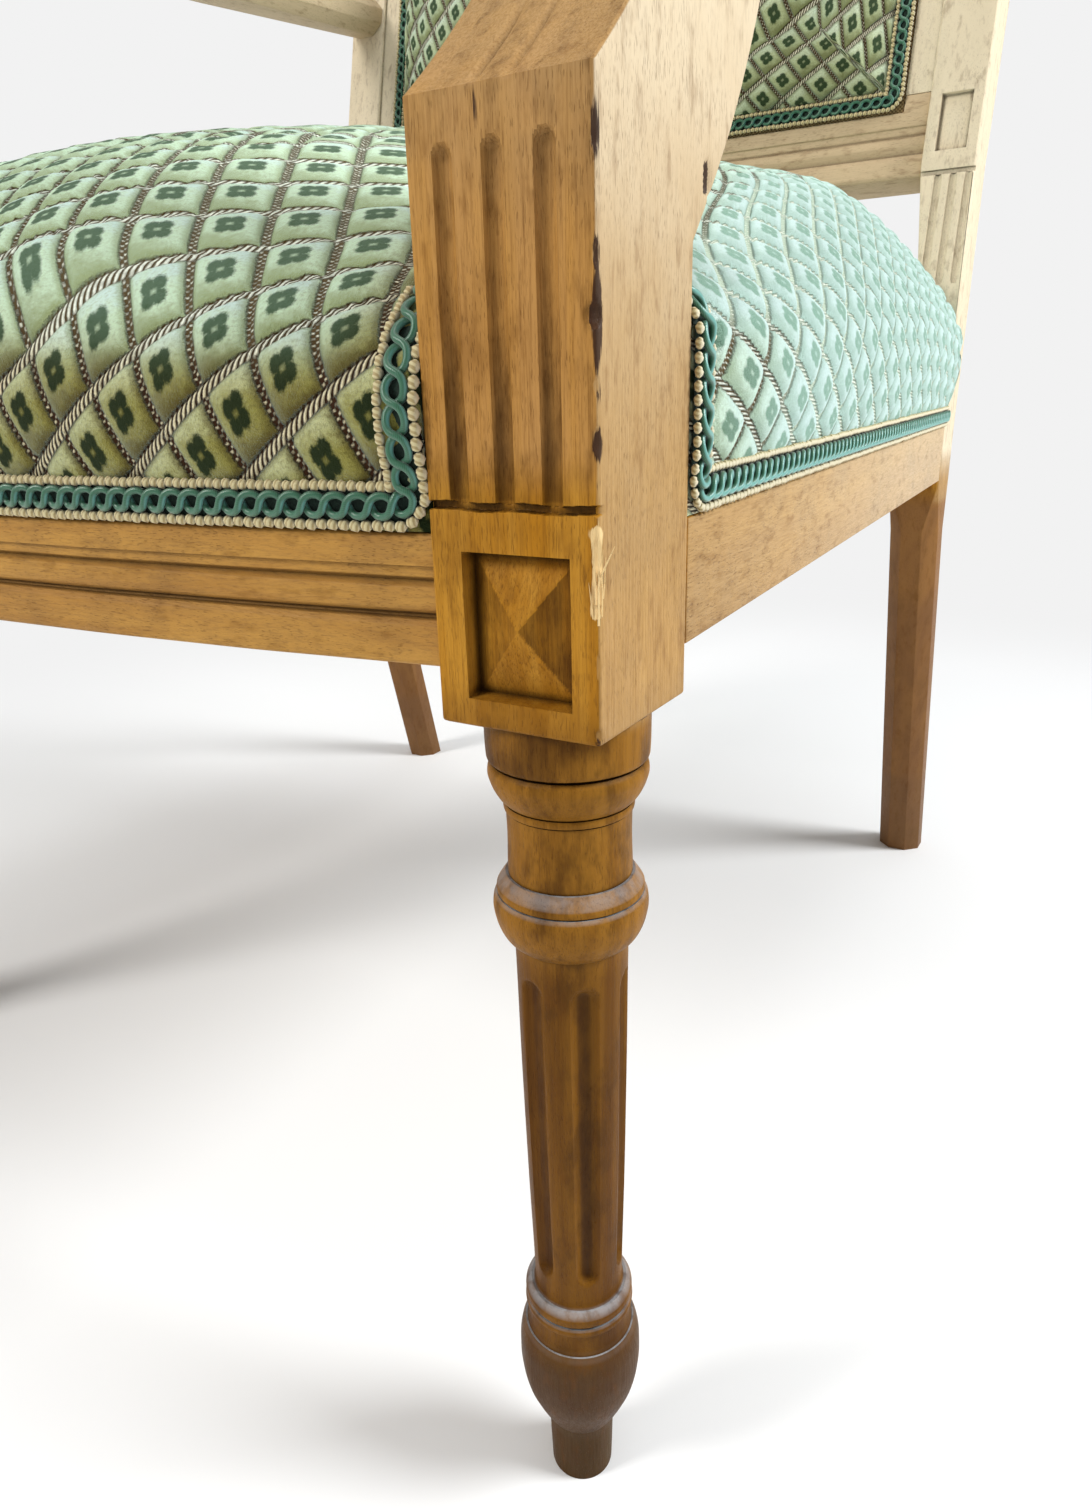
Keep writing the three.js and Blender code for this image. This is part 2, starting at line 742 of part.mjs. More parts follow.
function rearStile() {
  const body = joined(stileBody(), inBackFrame(stileCheek()));
  const mortise = (ranges) => grownBox(ranges, fitGap);
  const sloping = [lowerBackTenon, crestTenon, armRearTenon].map(mortise).map(inBackFrame);
  const level = [sideRearTenon, backTenon].map(mortise);
  return cut(body, ...stileCarving(), ...rabbetCutters(), ...sloping, ...level);
}

// Arms: level over the support, then rising gently to the stile

const armUnderFront = supportTop + fitGap;
const armEndLevel = armUnderFront + armThickness / 2 + armRise;
const armEndSetback = stileFrontAt(armEndLevel);

function armLevelAt(setback) {
  const share = Math.max(0, setback - armLevelEnd) / (armEndSetback - armLevelEnd);
  return armUnderFront + armThickness / 2 + armRise * share;
}

function armMiddleAt(setback) {
  const start = supportTopSetback;
  const share = THREE.MathUtils.clamp((setback - start) / (armEndSetback - start), 0, 1);
  const rearMiddle = (stileOuterAt(armEndLevel) + stileInnerAt(armEndLevel)) / 2;
  const straight = THREE.MathUtils.lerp(postMiddle, rearMiddle, share);
  return straight + armOutwardBow * Math.sin(Math.PI * share);
}

function armWidthAt(setback) {
  const share = THREE.MathUtils.clamp((setback - armLevelEnd) / (armEndSetback - armLevelEnd), 0, 1);
  const late = THREE.MathUtils.smoothstep(share, armNarrowingShare, 1);
  return THREE.MathUtils.lerp(armWidth, armRearWidth, late);
}

function armRing(setback, atStile) {
  const half = armWidthAt(setback) / 2;
  const halfThick = armThickness / 2;
  const ease = armThickness * armEdgeEaseShare;
  const ring = easedRing(0, 0, 0, half, halfThick, ease);
  return ring.map((p) => {
    const z = armLevelAt(setback) + p.y;
    const y = atStile ? stileFrontAt(z) - fitGap : setback;
    return new THREE.Vector3(armMiddleAt(setback) + p.x, y, z);
  });
}

const armRearRise = (armEndLevel - slopeStart) / Math.cos(backAngle);
const armRearTenon = [
  [armMiddleAt(armEndSetback) - tenonThickness / 2, armMiddleAt(armEndSetback) + tenonThickness / 2],
  [-tenonRoot, tenonLength],
  [armRearRise - tenonShoulder, armRearRise + tenonShoulder],
];

// The scroll at the arm's front end, notched to sit over the support's top
function armScroll() {
  const setback = supportTopSetback - armScrollLead;
  const level = armUnderFront + armThickness - armScrollRadius;
  const roll = new THREE.CylinderGeometry(armScrollRadius, armScrollRadius, armScrollWidth, armScrollSides)
    .rotateZ(Math.PI / 2)
    .translate(postMiddle, setback, level);
  const half = armScrollWidth / 2 + fitGap;
  const seat = box(
    [postMiddle - half, postMiddle + half], [supportTopSetback - fitGap * 2, supportTopSetback + overrun],
    [armUnderFront - armScrollRadius * 2, armUnderFront]);
  return cut(roll, seat);
}

function arm() {
  const start = supportTopSetback - armScrollLead;
  const rings = Array.from({ length: armStations + 1 }, (_, i) => {
    const setback = THREE.MathUtils.lerp(start, armEndSetback, i / armStations);
    return armRing(setback, i === armStations);
  });
  const whole = joined(loft(rings), armScroll(), inBackFrame(box(...armRearTenon)));
  return cut(whole, grownBox(armFrontTenon, fitGap));
}

// Arm pads

// The pad's outline in plan, grown by a distance, as places along and across the arm
function padOutline(grow) {
  return Array.from({ length: padPoints }, (_, i) => {
    const turn = 2 * Math.PI * i / padPoints;
    const [c, s] = [Math.cos(turn), Math.sin(turn)];
    const reach = (Math.abs(c) ** padCornerPower + Math.abs(s) ** padCornerPower) ** (-1 / padCornerPower);
    return {
      along: padStart + padLength / 2 + (padLength / 2 + grow) * reach * c,
      across: (padWidth / 2 + grow) * reach * s,
    };
  });
}

function padPoint({ along, across }, rise) {
  const base = armLevelAt(along) + armThickness / 2 + fitGap;
  return new THREE.Vector3(armMiddleAt(along) + across, along, base + rise);
}

function armPad() {
  const rings = padRingShares.map(([up, share]) => {
    const outline = padOutline(-(padWidth / 2) * (1 - share));
    return outline.map((p) => padPoint(p, THREE.MathUtils.lerp(padEdgeHeight, padCrown, up)));
  });
  return loft([padOutline(0).map((p) => padPoint(p, 0)), ...rings]);
}

function armPadGimp() {
  const inner = padOutline(fitGap);
  const outer = padOutline(fitGap + padGimpThickness);
  const rings = inner.map((p, i) => [
    padPoint(p, 0), padPoint(p, padGimpHeight), padPoint(outer[i], padGimpHeight), padPoint(outer[i], 0)]);
  return loft(rings, { endless: true });
}

// Seat upholstery

// A closed walk round a square from -1 to 1, as [u, v] pairs
function squareWalk(perSide) {
  const walk = [];
  for (let side = 0; side < 4; side += 1) {
    for (let i = 0; i < perSide; i += 1) {
      const t = -1 + 2 * i / perSide;
      walk.push([[t, -1], [1, t], [-t, 1], [-1, -t]][side]);
    }
  }
  return walk;
}

function rounded([u, v], share) {
  return [u * Math.sqrt(1 - share * v * v / 2), v * Math.sqrt(1 - share * u * u / 2)];
}

// A place on the seat's plan, inset from its edges, with its corners rounded by a share
function seatPlan(pair, insetSide, insetFront, insetRear, roundShare, shrink = 1) {
  const [u, v] = rounded(pair, roundShare);
  const front = seatFrontFace + insetFront;
  const rear = seatRearFace - insetRear;
  const middle = (front + rear) / 2;
  const y = middle + v * shrink * (rear - front) / 2;
  const half = sideHalfAt(y) - insetSide;
  const x = u * shrink * half;
  const bow = bowAt(x) * Math.max(0, -v * shrink);
  return [x, y + bow];
}

// Share of the swelling part of the seat's side, which starts over the gimp
function swellShare(edgeShare) {
  const start = gimpHeight / seatShoulderRise;
  return Math.max(0, (edgeShare - start) / (1 - start));
}

function seatInset(radius, edgeShare, skin) {
  const roll = radius * (1 - (1 - edgeShare ** seatPower) ** (1 / seatPower));
  return roll + fitGap + skin - seatBulge * Math.sin(Math.PI * swellShare(edgeShare));
}

function seatRoundAt(edgeShare) {
  return seatRoundShare * swellShare(edgeShare) ** seatRoundPower;
}

// How far the seat's dome rises over its shoulder at a place, where the shoulder has its full height
function domeAt(x, y) {
  const across = 1 - Math.min(1, Math.abs(x) / sideHalfAt(y)) ** seatCrownPower;
  const along = 1 - Math.min(1, Math.abs(y - seatCrownSetback) / seatCrownReach) ** 2;
  return seatCrown * across * along;
}

function seatRing(edgeShare, skin, shrink = 1) {
  const radii = [seatSideRadius, seatFrontRadius, seatRearRadius];
  const insets = radii.map((radius) => seatInset(radius, edgeShare, skin));
  return squareWalk(seatPointsPerSide).map((pair) => {
    const [x, y] = seatPlan(pair, ...insets, seatRoundAt(edgeShare), shrink);
    const rise = (seatShoulderRise - skin + domeAt(x, y)) * edgeShare;
    return new THREE.Vector3(x, y, seatLedge + fitGap + rise);
  });
}

const gimpShare = gimpHeight / seatShoulderRise;
const stuffingFootShare = (seatRailTop + canvasThickness + fitGap * 2 - seatLedge) / seatShoulderRise;

// Rings of the seat's form from its foot to its crown, shrunk by a skin thickness
function seatForm(skin, edges, crowns) {
  const crown = crowns.map((shrink) => seatRing(1, skin, shrink));
  return [...edges.map((share) => seatRing(share, skin)), ...crown];
}

function seatInnerForm(skin) {
  return seatForm(skin, [stuffingFootShare, ...seatInnerEdgeShares], seatInnerCrownShares);
}

// What the posts and the stiles keep free of the seat's upholstery
function seatKeepouts(gap) {
  const rear = supportOutlines().map(([, edge]) => [edge.x + gap, edge.y]);
  const top = rear[rear.length - 1][1];
  const post = prismAlongX(
    [[-frontWidth, blockBottom - overrun], [rear[0][0], blockBottom - overrun], ...rear, [-frontWidth, top]],
    postInner - gap, frontWidth);
  const behind = stileFrontAt(supportTop) + overrun;
  const stile = prismAlongX([
    [stileSetback - gap, blockBottom - overrun], [stileSetback - gap, slopeStart],
    [stileFrontAt(supportTop) - gap, supportTop], [behind, supportTop], [behind, blockBottom - overrun],
  ], stileInner - gap, frontWidth);
  return [post, mirrored(post), stile, mirrored(stile)];
}

function seatCover() {
  const inner = [seatRing(0, coverThickness), ...seatInnerForm(coverThickness)];
  const outer = seatForm(0, [0, gimpShare, ...seatEdgeShares], seatCrownShares);
  return cut(loft([...inner.toReversed(), ...outer]), ...seatKeepouts(fitGap));
}

function canvasRing(inset, height, roundShare) {
  return squareWalk(canvasPointsPerSide).map((pair) => {
    const [x, y] = seatPlan(pair, inset, inset, inset, roundShare);
    return new THREE.Vector3(x, y, height);
  });
}

// Rings of a low dome over the springs, from its rim on the rails to its middle
function canvasRings(lift, rimInset) {
  const rim = seatRailTop + fitGap;
  const slope = canvasSlopeShares.map(([along, up]) => canvasRing(
    THREE.MathUtils.lerp(railThickness + fitGap, canvasEdge, along),
    THREE.MathUtils.lerp(rim, canvasTop, up) + lift, canvasRoundShare * along));
  return [canvasRing(rimInset, rim + lift, 0), ...slope];
}

function seatCanvas() {
  const rimInset = rabbetDepth + canvasRimLap;
  const over = canvasRings(canvasThickness, rimInset);
  const under = canvasRings(0, rimInset);
  return cut(loft([...under.toReversed(), ...over]), ...seatKeepouts(fitGap * 2));
}

function seatStuffing() {
  const body = loft(seatInnerForm(coverThickness + fitGap).toReversed());
  const rings = canvasRings(canvasThickness + fitGap, rabbetDepth);
  const hollow = loft([canvasRing(rabbetDepth, seatRailTop - overrun, 0), ...rings]);
  return cut(body, hollow, ...seatKeepouts(fitGap * 2));
}

// Gimp: a band along the ledge that turns up beside the posts

function edgeShareAt(height) {
  return (height - seatLedge - fitGap) / seatShoulderRise;
}

// The setback of the seat's front face at a place x and a height
function seatFrontAt(x, height) {
  const share = edgeShareAt(height);
  const side = seatInset(seatSideRadius, share, 0);
  const round = seatRoundAt(share);
  const across = x / ((frontHalf - side) * Math.sqrt(1 - round / 2));
  const inset = seatInset(seatFrontRadius, share, 0);
  return seatPlan([across, -1], side, inset, inset, round)[1];
}

// The half width of the seat at a setback near its front and a height
function seatSideAt(setback, height) {
  const share = edgeShareAt(height);
  const inset = seatInset(seatSideRadius, share, 0);
  const round = seatRoundAt(share);
  const along = (2 * setback - seatFrontFace - seatRearFace) / (seatRearFace - seatFrontFace);
  return rounded([1, along], round)[0] * (sideHalfAt(setback) - inset);
}

// The gimp's upright ends bend where the rings of the cover do
function uprightHeights() {
  const top = edgeShareAt(seatLedge + gimpUprightRise);
  const shares = [0, gimpShare, ...seatEdgeShares.filter((share) => share < top), top];
  return shares.map((share) => seatLedge + fitGap + share * seatShoulderRise);
}

function frontGimp() {
  const half = postInner - fitGap * 2;
  const low = seatLedge + fitGap;
  const rings = Array.from({ length: frontStations * 2 + 1 }, (_, i) => {
    const x = THREE.MathUtils.lerp(-half, half, i / (frontStations * 2));
    const y = seatFrontFace + bowAt(x);
    return [[0, low], [-gimpThickness, low], [-gimpThickness, low + gimpHeight], [0, low + gimpHeight]]
      .map(([dy, z]) => new THREE.Vector3(x, y + dy, z));
  });
  const upright = loft(uprightHeights().map((z) => {
    const [x0, x1] = [half - gimpHeight, half];
    const [y0, y1] = [x0, x1].map((x) => seatFrontAt(x, z) - fitGap * 2);
    return [[x0, y0], [x1, y1], [x1, y1 - gimpThickness], [x0, y0 - gimpThickness]]
      .map(([x, y]) => new THREE.Vector3(x, y, z));
  }));
  return joined(loft(rings), upright, mirrored(upright));
}

function sideGimp() {
  const y0 = postDepth + fitGap * 2;
  const y1 = stileSetback - fitGap * 2;
  const low = seatLedge + fitGap;
  const rings = [y0, y1].map((y) => (
    [[0, low], [gimpThickness, low], [gimpThickness, low + gimpHeight], [0, low + gimpHeight]]
      .map(([dx, z]) => new THREE.Vector3(sideHalfAt(y) + dx, y, z))));
  const upright = loft(uprightHeights().map((z) => (
    [[0, y0], [gimpThickness, y0], [gimpThickness, y0 + gimpHeight], [0, y0 + gimpHeight]]
      .map(([dx, y]) => new THREE.Vector3(seatSideAt(y, z) + fitGap * 2 + dx, y, z)))));
  return joined(loft(rings), upright);
}

function rearGimp() {
  const half = stileInner - fitGap * 2;
  const low = seatLedge + fitGap;
  return box([-half, half], [seatRearFace, seatRearFace + gimpThickness], [low, low + gimpHeight]);
}

// Webbing, springs and dust cover under the seat

function lengthwiseStrap(x) {
  const top = seatRailBottom - fitGap;
  return box([x - strapWidth / 2, x + strapWidth / 2],
    [seatFrontFace + strapEndInset, seatRearFace - strapEndInset], [top - strapThickness, top]);
}

function crosswiseStrap(setback) {
  const top = seatRailBottom - fitGap * 2 - strapThickness;
  const half = sideHalfAt(setback + strapWidth / 2) - strapEndInset;
  const along = [setback - strapWidth / 2, setback + strapWidth / 2];
  return box([-half, half], along, [top - strapThickness, top]);
}

function seatSpring(x, y) {
  const steps = springTurns * springStepsPerTurn;
  const low = seatRailBottom + springWireRadius;
  const high = canvasTop - springWireRadius - fitGap * 2;
  const rings = Array.from({ length: steps + 1 }, (_, i) => {
    const share = i / steps;
    const turn = 2 * Math.PI * springTurns * share;
    const radius = THREE.MathUtils.lerp(springWaistRadius, springEndRadius, (2 * share - 1) ** 2);
    const z = THREE.MathUtils.lerp(low, high, share);
    return Array.from({ length: springSides }, (__, k) => {
      const around = 2 * Math.PI * k / springSides;
      const reach = radius + springWireRadius * Math.cos(around);
      return new THREE.Vector3(
        x + reach * Math.cos(turn), y + reach * Math.sin(turn), z + springWireRadius * Math.sin(around));
    });
  });
  return loft(rings);
}

function dustCover() {
  const top = seatRailBottom - fitGap * 3 - strapThickness * 2;
  const front = seatFrontFace + dustCoverInset;
  const rear = seatRearFace - dustCoverInset;
  const sheet = prismUp([
    [-sideHalfAt(front) + dustCoverInset, front], [sideHalfAt(front) - dustCoverInset, front],
    [sideHalfAt(rear) - dustCoverInset, rear], [-sideHalfAt(rear) + dustCoverInset, rear],
  ], top - dustCoverThickness, top);
  return cut(sheet, ...seatKeepouts(fitGap * 2));
}

// Corner blocks, glued and screwed inside the seat frame

function frontCornerPlan() {
  const inner = seatFrontFace + railThickness + fitGap;
  const sideInner = (y) => sideHalfAt(y) - railThickness - fitGap;
  const edge = postInner - fitGap;
  const behind = postDepth + fitGap;
  return [
    [edge - cornerBlockReach, inner], [edge, inner], [edge, behind], [sideInner(behind), behind],
    [sideInner(behind + cornerBlockReach), behind + cornerBlockReach],
  ];
}

function rearCornerPlan() {
  const inner = seatRearFace - railThickness - fitGap;
  const sideInner = (y) => sideHalfAt(y) - railThickness - fitGap;
  const edge = stileInner - fitGap;
  const before = stileSetback - fitGap;
  return [
    [edge - cornerBlockReach, inner], [sideInner(before - cornerBlockReach), before - cornerBlockReach],
    [sideInner(before), before], [edge, before], [edge, inner],
  ];
}

// A screw laid level through the middle of a block's long face, pointing at the frame's corner.
// Grown by a fit it is the hole for itself, which runs on past its head.
function screw(plan, target, grow = 0) {
  const [[ax, ay]] = plan;
  const [bx, by] = plan.reduce((far, point) => (
    Math.hypot(point[0] - ax, point[1] - ay) > Math.hypot(far[0] - ax, far[1] - ay) ? point : far));
  const middle = new THREE.Vector3((ax + bx) / 2, (ay + by) / 2, screwHeight);
  const aim = new THREE.Vector3(target[0], target[1], screwHeight).sub(middle).normalize();
  const start = grow > 0 ? -overrun : 0;
  const profile = [
    [0, start], [screwHeadRadius + grow, start], [screwHeadRadius + grow, screwHeadThickness + grow],
    [screwRadius + grow, screwHeadThickness + grow], [screwRadius + grow, screwLength + grow],
    [0, screwLength + grow],
  ].map(([radius, along]) => new THREE.Vector2(radius, along));
  const turn = new THREE.Quaternion().setFromUnitVectors(new THREE.Vector3(0, 1, 0), aim);
  const shape = new THREE.LatheGeometry(profile, screwSides).applyQuaternion(turn);
  return shape.translate(middle.x, middle.y, middle.z);
}

const frontCorner = frontCornerPlan();
const rearCorner = rearCornerPlan();
const frontScrewTarget = [postInner, postDepth];
const rearScrewTarget = [stileInner, stileSetback];

function cornerBlock(plan, target) {
  return cut(prismUp(plan, cornerBlockBottom, cornerBlockTop), screw(plan, target, fitGap));
}

// Back upholstery, drawn in the back frame

function backRing(insetAcross, depth, roundShare, shrink = 1, perSide = backPointsPerSide) {
  const halfWidth = backPanelHalfWidth - insetAcross;
  const low = backPanelBottom + fitGap + insetAcross;
  const high = backPanelTop - fitGap - insetAcross;
  return squareWalk(perSide).map((pair) => {
    const [u, v] = rounded(pair, roundShare);
    return new THREE.Vector3(u * shrink * halfWidth, depth, (low + high) / 2 + v * shrink * (high - low) / 2);
  });
}

// Depths in the stack on the front rabbet
const backStrapFront = frontRabbet - fitGap - strapThickness;
const backCanvasFront = backStrapFront - fitGap - canvasThickness;
const backCoverRear = backCanvasFront - fitGap;
const backMarginFront = backCoverRear - coverThickness;
const outsideFront = backFaceInset + backRailDepth - rearRabbet + fitGap;
const outsideThickness = rearRabbet - fitGap * 2;

function backForm(skin, edges, crowns) {
  const foot = backMargin + skin;
  const shoulder = backShoulder - skin;
  const rings = edges.map((share) => {
    const inset = foot + backShoulderRadius * (1 - (1 - share ** backPower) ** (1 / backPower));
    return backRing(inset, backMarginFront - shoulder * share, share * backRoundShare);
  });
  const crown = crowns.map((shrink) => {
    const depth = backMarginFront - shoulder - (backCrown - backShoulder) * (1 - shrink ** 2);
    return backRing(foot + backShoulderRadius, depth, backRoundShare, shrink);
  });
  return [...rings, ...crown];
}

function innerBackCover() {
  const inner = backForm(coverThickness, backInnerEdgeShares, backInnerCrownShares);
  const base = backRing(backMargin + coverThickness, backCoverRear, 0);
  const rim = [backRing(fitGap, backCoverRear, 0), backRing(fitGap, backMarginFront, 0)];
  const outer = backForm(0, backEdgeShares, backCrownShares);
  return inBackFrame(loft([...inner.toReversed(), base, ...rim, ...outer]));
}

function backStuffing() {
  const skin = coverThickness + fitGap;
  const form = backForm(skin, backInnerEdgeShares, backInnerCrownShares);
  return inBackFrame(loft([...form.toReversed(), backRing(backMargin + skin, backCoverRear, 0)]));
}

function backCanvas() {
  const depths = [backCanvasFront, backCanvasFront + canvasThickness];
  return inBackFrame(loft(depths.map((depth) => backRing(fitGap, depth, 0, 1, 1))));
}

function outsideBack() {
  const rear = outsideFront + outsideThickness;
  const rings = [
    backRing(fitGap, outsideFront, 0), backRing(fitGap, rear, 0), backRing(backMargin + fitGap, rear, 0),
    backRing(backMargin + backShoulder, rear + outsideBulge, backRoundShare),
  ];
  return inBackFrame(loft(rings));
}

function backStrap(x) {
  const reach = [backPanelBottom + fitGap, backPanelTop - fitGap];
  return inBackFrame(box(
    [x - strapWidth / 2, x + strapWidth / 2], [backStrapFront, backStrapFront + strapThickness], reach));
}

function backGimp(depth) {
  const outer = backRing(fitGap, depth, 0, 1, 1);
  const inner = backRing(backMargin - fitGap, depth, 0, 1, 1);
  const deeper = new THREE.Vector3(0, gimpThickness, 0);
  const rings = outer.map((p, i) => [
    p, inner[i], inner[i].clone().add(deeper), p.clone().add(deeper)]);
  return inBackFrame(loft(rings, { endless: true }));
}

// Assembly

const chair = new THREE.Group();

function add(name, geometry, finish) {
  const mesh = new THREE.Mesh(closed(geometry), new THREE.MeshStandardMaterial(finishes[finish]));
  mesh.name = name;
  chair.add(mesh);
}

function addPair(name, geometry, finish) {
  add(`${name}_right`, geometry, finish);
  add(`${name}_left`, mirrored(geometry), finish);
}

const blockScrews = [[frontCorner, frontScrewTarget], [rearCorner, rearScrewTarget]];
const frontPostDrilled = cut(frontPost(), screw(frontCorner, frontScrewTarget, fitGap));
const rearStileDrilled = cut(rearStile(), screw(rearCorner, rearScrewTarget, fitGap));

addPair('front_post', frontPostDrilled, 'wood');
addPair('rear_stile', rearStileDrilled, 'wood');
addPair('arm', arm(), 'wood');
add('front_rail', frontRail(), 'wood');
addPair('side_rail', sideRail(), 'wood');
add('back_seat_rail', backSeatRail(), 'wood');
add('lower_back_rail', lowerBackRail(), 'wood');
add('crest_rail', crestRail(), 'wood');
addPair('front_corner_block', cornerBlock(...blockScrews[0]), 'hiddenWood');
addPair('rear_corner_block', cornerBlock(...blockScrews[1]), 'hiddenWood');
addPair('front_block_screw', screw(...blockScrews[0]), 'steel');
addPair('rear_block_screw', screw(...blockScrews[1]), 'steel');

for (const [i, column] of [-1, 0, 1].entries()) {
  add(`seat_strap_lengthwise_${i + 1}`, lengthwiseStrap(column * strapSpacing), 'jute');
  add(`seat_strap_crosswise_${i + 1}`, crosswiseStrap(strapMiddleSetback + column * strapRowSpacing), 'jute');
  add(`back_strap_${i + 1}`, backStrap(column * backStrapSpacing), 'jute');
  for (const [k, row] of [-1, 0, 1].entries()) {
    const place = [column * strapSpacing, strapMiddleSetback + row * strapRowSpacing];
    add(`seat_spring_${k * 3 + i + 1}`, seatSpring(...place), 'steel');
  }
}

add('spring_canvas', seatCanvas(), 'jute');
add('seat_stuffing', seatStuffing(), 'stuffing');
add('seat_cover', seatCover(), 'velvet');
add('seat_gimp_front', frontGimp(), 'gimp');
addPair('seat_gimp', sideGimp(), 'gimp');
add('seat_gimp_rear', rearGimp(), 'gimp');
add('dust_cover', dustCover(), 'dustCloth');
add('back_canvas', backCanvas(), 'jute');
add('back_stuffing', backStuffing(), 'stuffing');
add('inner_back_cover', innerBackCover(), 'velvet');
add('outside_back_cover', outsideBack(), 'velvet');
add('back_gimp_front', backGimp(backMarginFront - fitGap - gimpThickness), 'gimp');
add('back_gimp_rear', backGimp(outsideFront + outsideThickness + fitGap), 'gimp');
addPair('arm_pad', armPad(), 'velvet');
addPair('arm_pad_gimp', armPadGimp(), 'gimp');

// The origin stands on the floor under the middle of the chair's box
const extent = new THREE.Box3().setFromObject(chair);
chair.position.y = -(extent.min.y + extent.max.y) / 2;
chair.updateMatrixWorld(true);

export default chair;
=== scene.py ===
# A fauteuil in stripped beech with a lozenge velvet seat and gimp braid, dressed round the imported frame
import math

import bmesh
import bpy
import numpy as np
from mathutils import Matrix, Vector


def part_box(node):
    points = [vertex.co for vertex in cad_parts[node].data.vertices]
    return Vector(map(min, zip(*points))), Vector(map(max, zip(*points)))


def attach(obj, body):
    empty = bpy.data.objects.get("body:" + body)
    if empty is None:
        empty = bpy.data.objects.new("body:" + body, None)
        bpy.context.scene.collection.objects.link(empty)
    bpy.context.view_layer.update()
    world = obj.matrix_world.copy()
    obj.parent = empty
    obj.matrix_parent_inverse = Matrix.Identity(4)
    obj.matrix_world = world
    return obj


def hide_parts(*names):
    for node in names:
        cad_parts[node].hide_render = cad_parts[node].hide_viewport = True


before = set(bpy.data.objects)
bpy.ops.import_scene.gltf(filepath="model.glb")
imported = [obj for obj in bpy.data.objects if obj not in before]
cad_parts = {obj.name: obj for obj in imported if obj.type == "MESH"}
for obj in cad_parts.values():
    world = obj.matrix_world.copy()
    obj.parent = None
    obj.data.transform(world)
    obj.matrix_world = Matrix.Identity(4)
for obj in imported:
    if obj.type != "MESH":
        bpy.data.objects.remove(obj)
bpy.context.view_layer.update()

# Sizes are millimetres in the chair's own drawing: x across from the middle, y back from the
# front posts' face, z up from the floor
MM = 0.001
POST_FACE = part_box("front_post_right")[0].y

POST_INNER = 242.8
POST_OUTER = 290.0
POST_WIDTH = POST_OUTER - POST_INNER
POST_MIDDLE = (POST_INNER + POST_OUTER) / 2
POST_DEPTH = 50.7
BLOCK_BOTTOM = 290.0
RAIL_BOTTOM = 304.0
RAIL_HEIGHT = 34.5
LEDGE = RAIL_BOTTOM + RAIL_HEIGHT
RAIL_TONGUE = 13.0
RAIL_TOP = LEDGE + RAIL_TONGUE
RAIL_THICKNESS = 26.0
RABBET = 4.0
RAIL_BOW = 17.3
KERF_MIDDLE = 345.8
KERF_HEIGHT = 2.2
KERF_DEPTH = 1.8
DIE_TOP = 431.4
SUPPORT_REAR_START = 404.0
SUPPORT_TOP = 626.0
SWEEP = 79.0
WAIST_HEIGHT = 565.0
WAIST_REAR = 117.0
TOP_FRONT = 70.0
TOP_REAR = 108.0
TOP_WIDTH = 36.0
FRONT_SHARES = [(0.46, 0.21), (1.0, 0.56)]
REAR_SHARES = [(0.34, 0.16), (1.0, 0.47)]
FLUTE_RADIUS = 2.6
FLUTE_DEPTH = 2.1
FLUTE_PITCH = 12.9
FLUTE_STOP = 9.9
FLUTE_TOP = DIE_TOP - FLUTE_STOP
FLUTE_MIDDLES = POST_MIDDLE - 1.0 + FLUTE_PITCH * np.arange(-1, 2)
PANEL_LOW = 298.0
PANEL_HIGH = 334.5
PANEL_LEFT = 252.3
PANEL_RIGHT = 282.0
PANEL_HALF_WIDTH = (PANEL_RIGHT - PANEL_LEFT) / 2
PANEL_HALF_HEIGHT = (PANEL_HIGH - PANEL_LOW) / 2
PANEL_DEPTH = 5.4
PANEL_POINT_DEPTH = 0.4
LEG_FLUTES = 6
LEG_FLUTE_PHASE = math.radians(12)
LEG_FLUTE_DEPTH = 2.6
SIDE_REAR_HALF = 266.9
STILE_SETBACK = 524.9
STILE_SLOPE_START = 334.6
STILE_SLOPE = 0.2309
STILE_INNER_LOW = 234.9
STILE_INNER_HIGH = 228.5
STILE_TAPER_END = 496.1
BACK_ANGLE = math.radians(13)
PANEL_HALF = 212.0
BACK_PANEL_BOTTOM = 202.0
BACK_PANEL_TOP = 526.0
GIMP_HEIGHT = 12.5
GIMP_LIFT = 0.2
GIMP_TOP = 394.0
SEAT_FOOT = 338.8
TUCK = 0.3


# Helpers for points, grids and meshes

def to_frame(points):
    """Drawing millimetres in the frame's metres."""
    placed = np.array(points, float).reshape(-1, 3) * MM
    placed[:, 1] += POST_FACE
    return placed


def to_drawing(points):
    """The frame's metres in drawing millimetres."""
    placed = np.array(points, float) / MM
    placed[..., 1] -= POST_FACE / MM
    return placed


def smoothstep(low, high, value):
    share = np.clip((value - low) / (high - low), 0, 1)
    return share * share * (3 - 2 * share)


def lerp(a, b, share):
    return a + (b - a) * share


def graded(start, end, spacing):
    """Values from start to end whose gaps follow spacing(value)."""
    fine = np.linspace(start, end, 4001)
    step = (end - start) / 4000
    count = np.concatenate([[0], np.cumsum(step / spacing((fine[1:] + fine[:-1]) / 2))])
    total = max(2, int(round(count[-1])))
    return np.interp(np.linspace(0, count[-1], total + 1), count, fine)


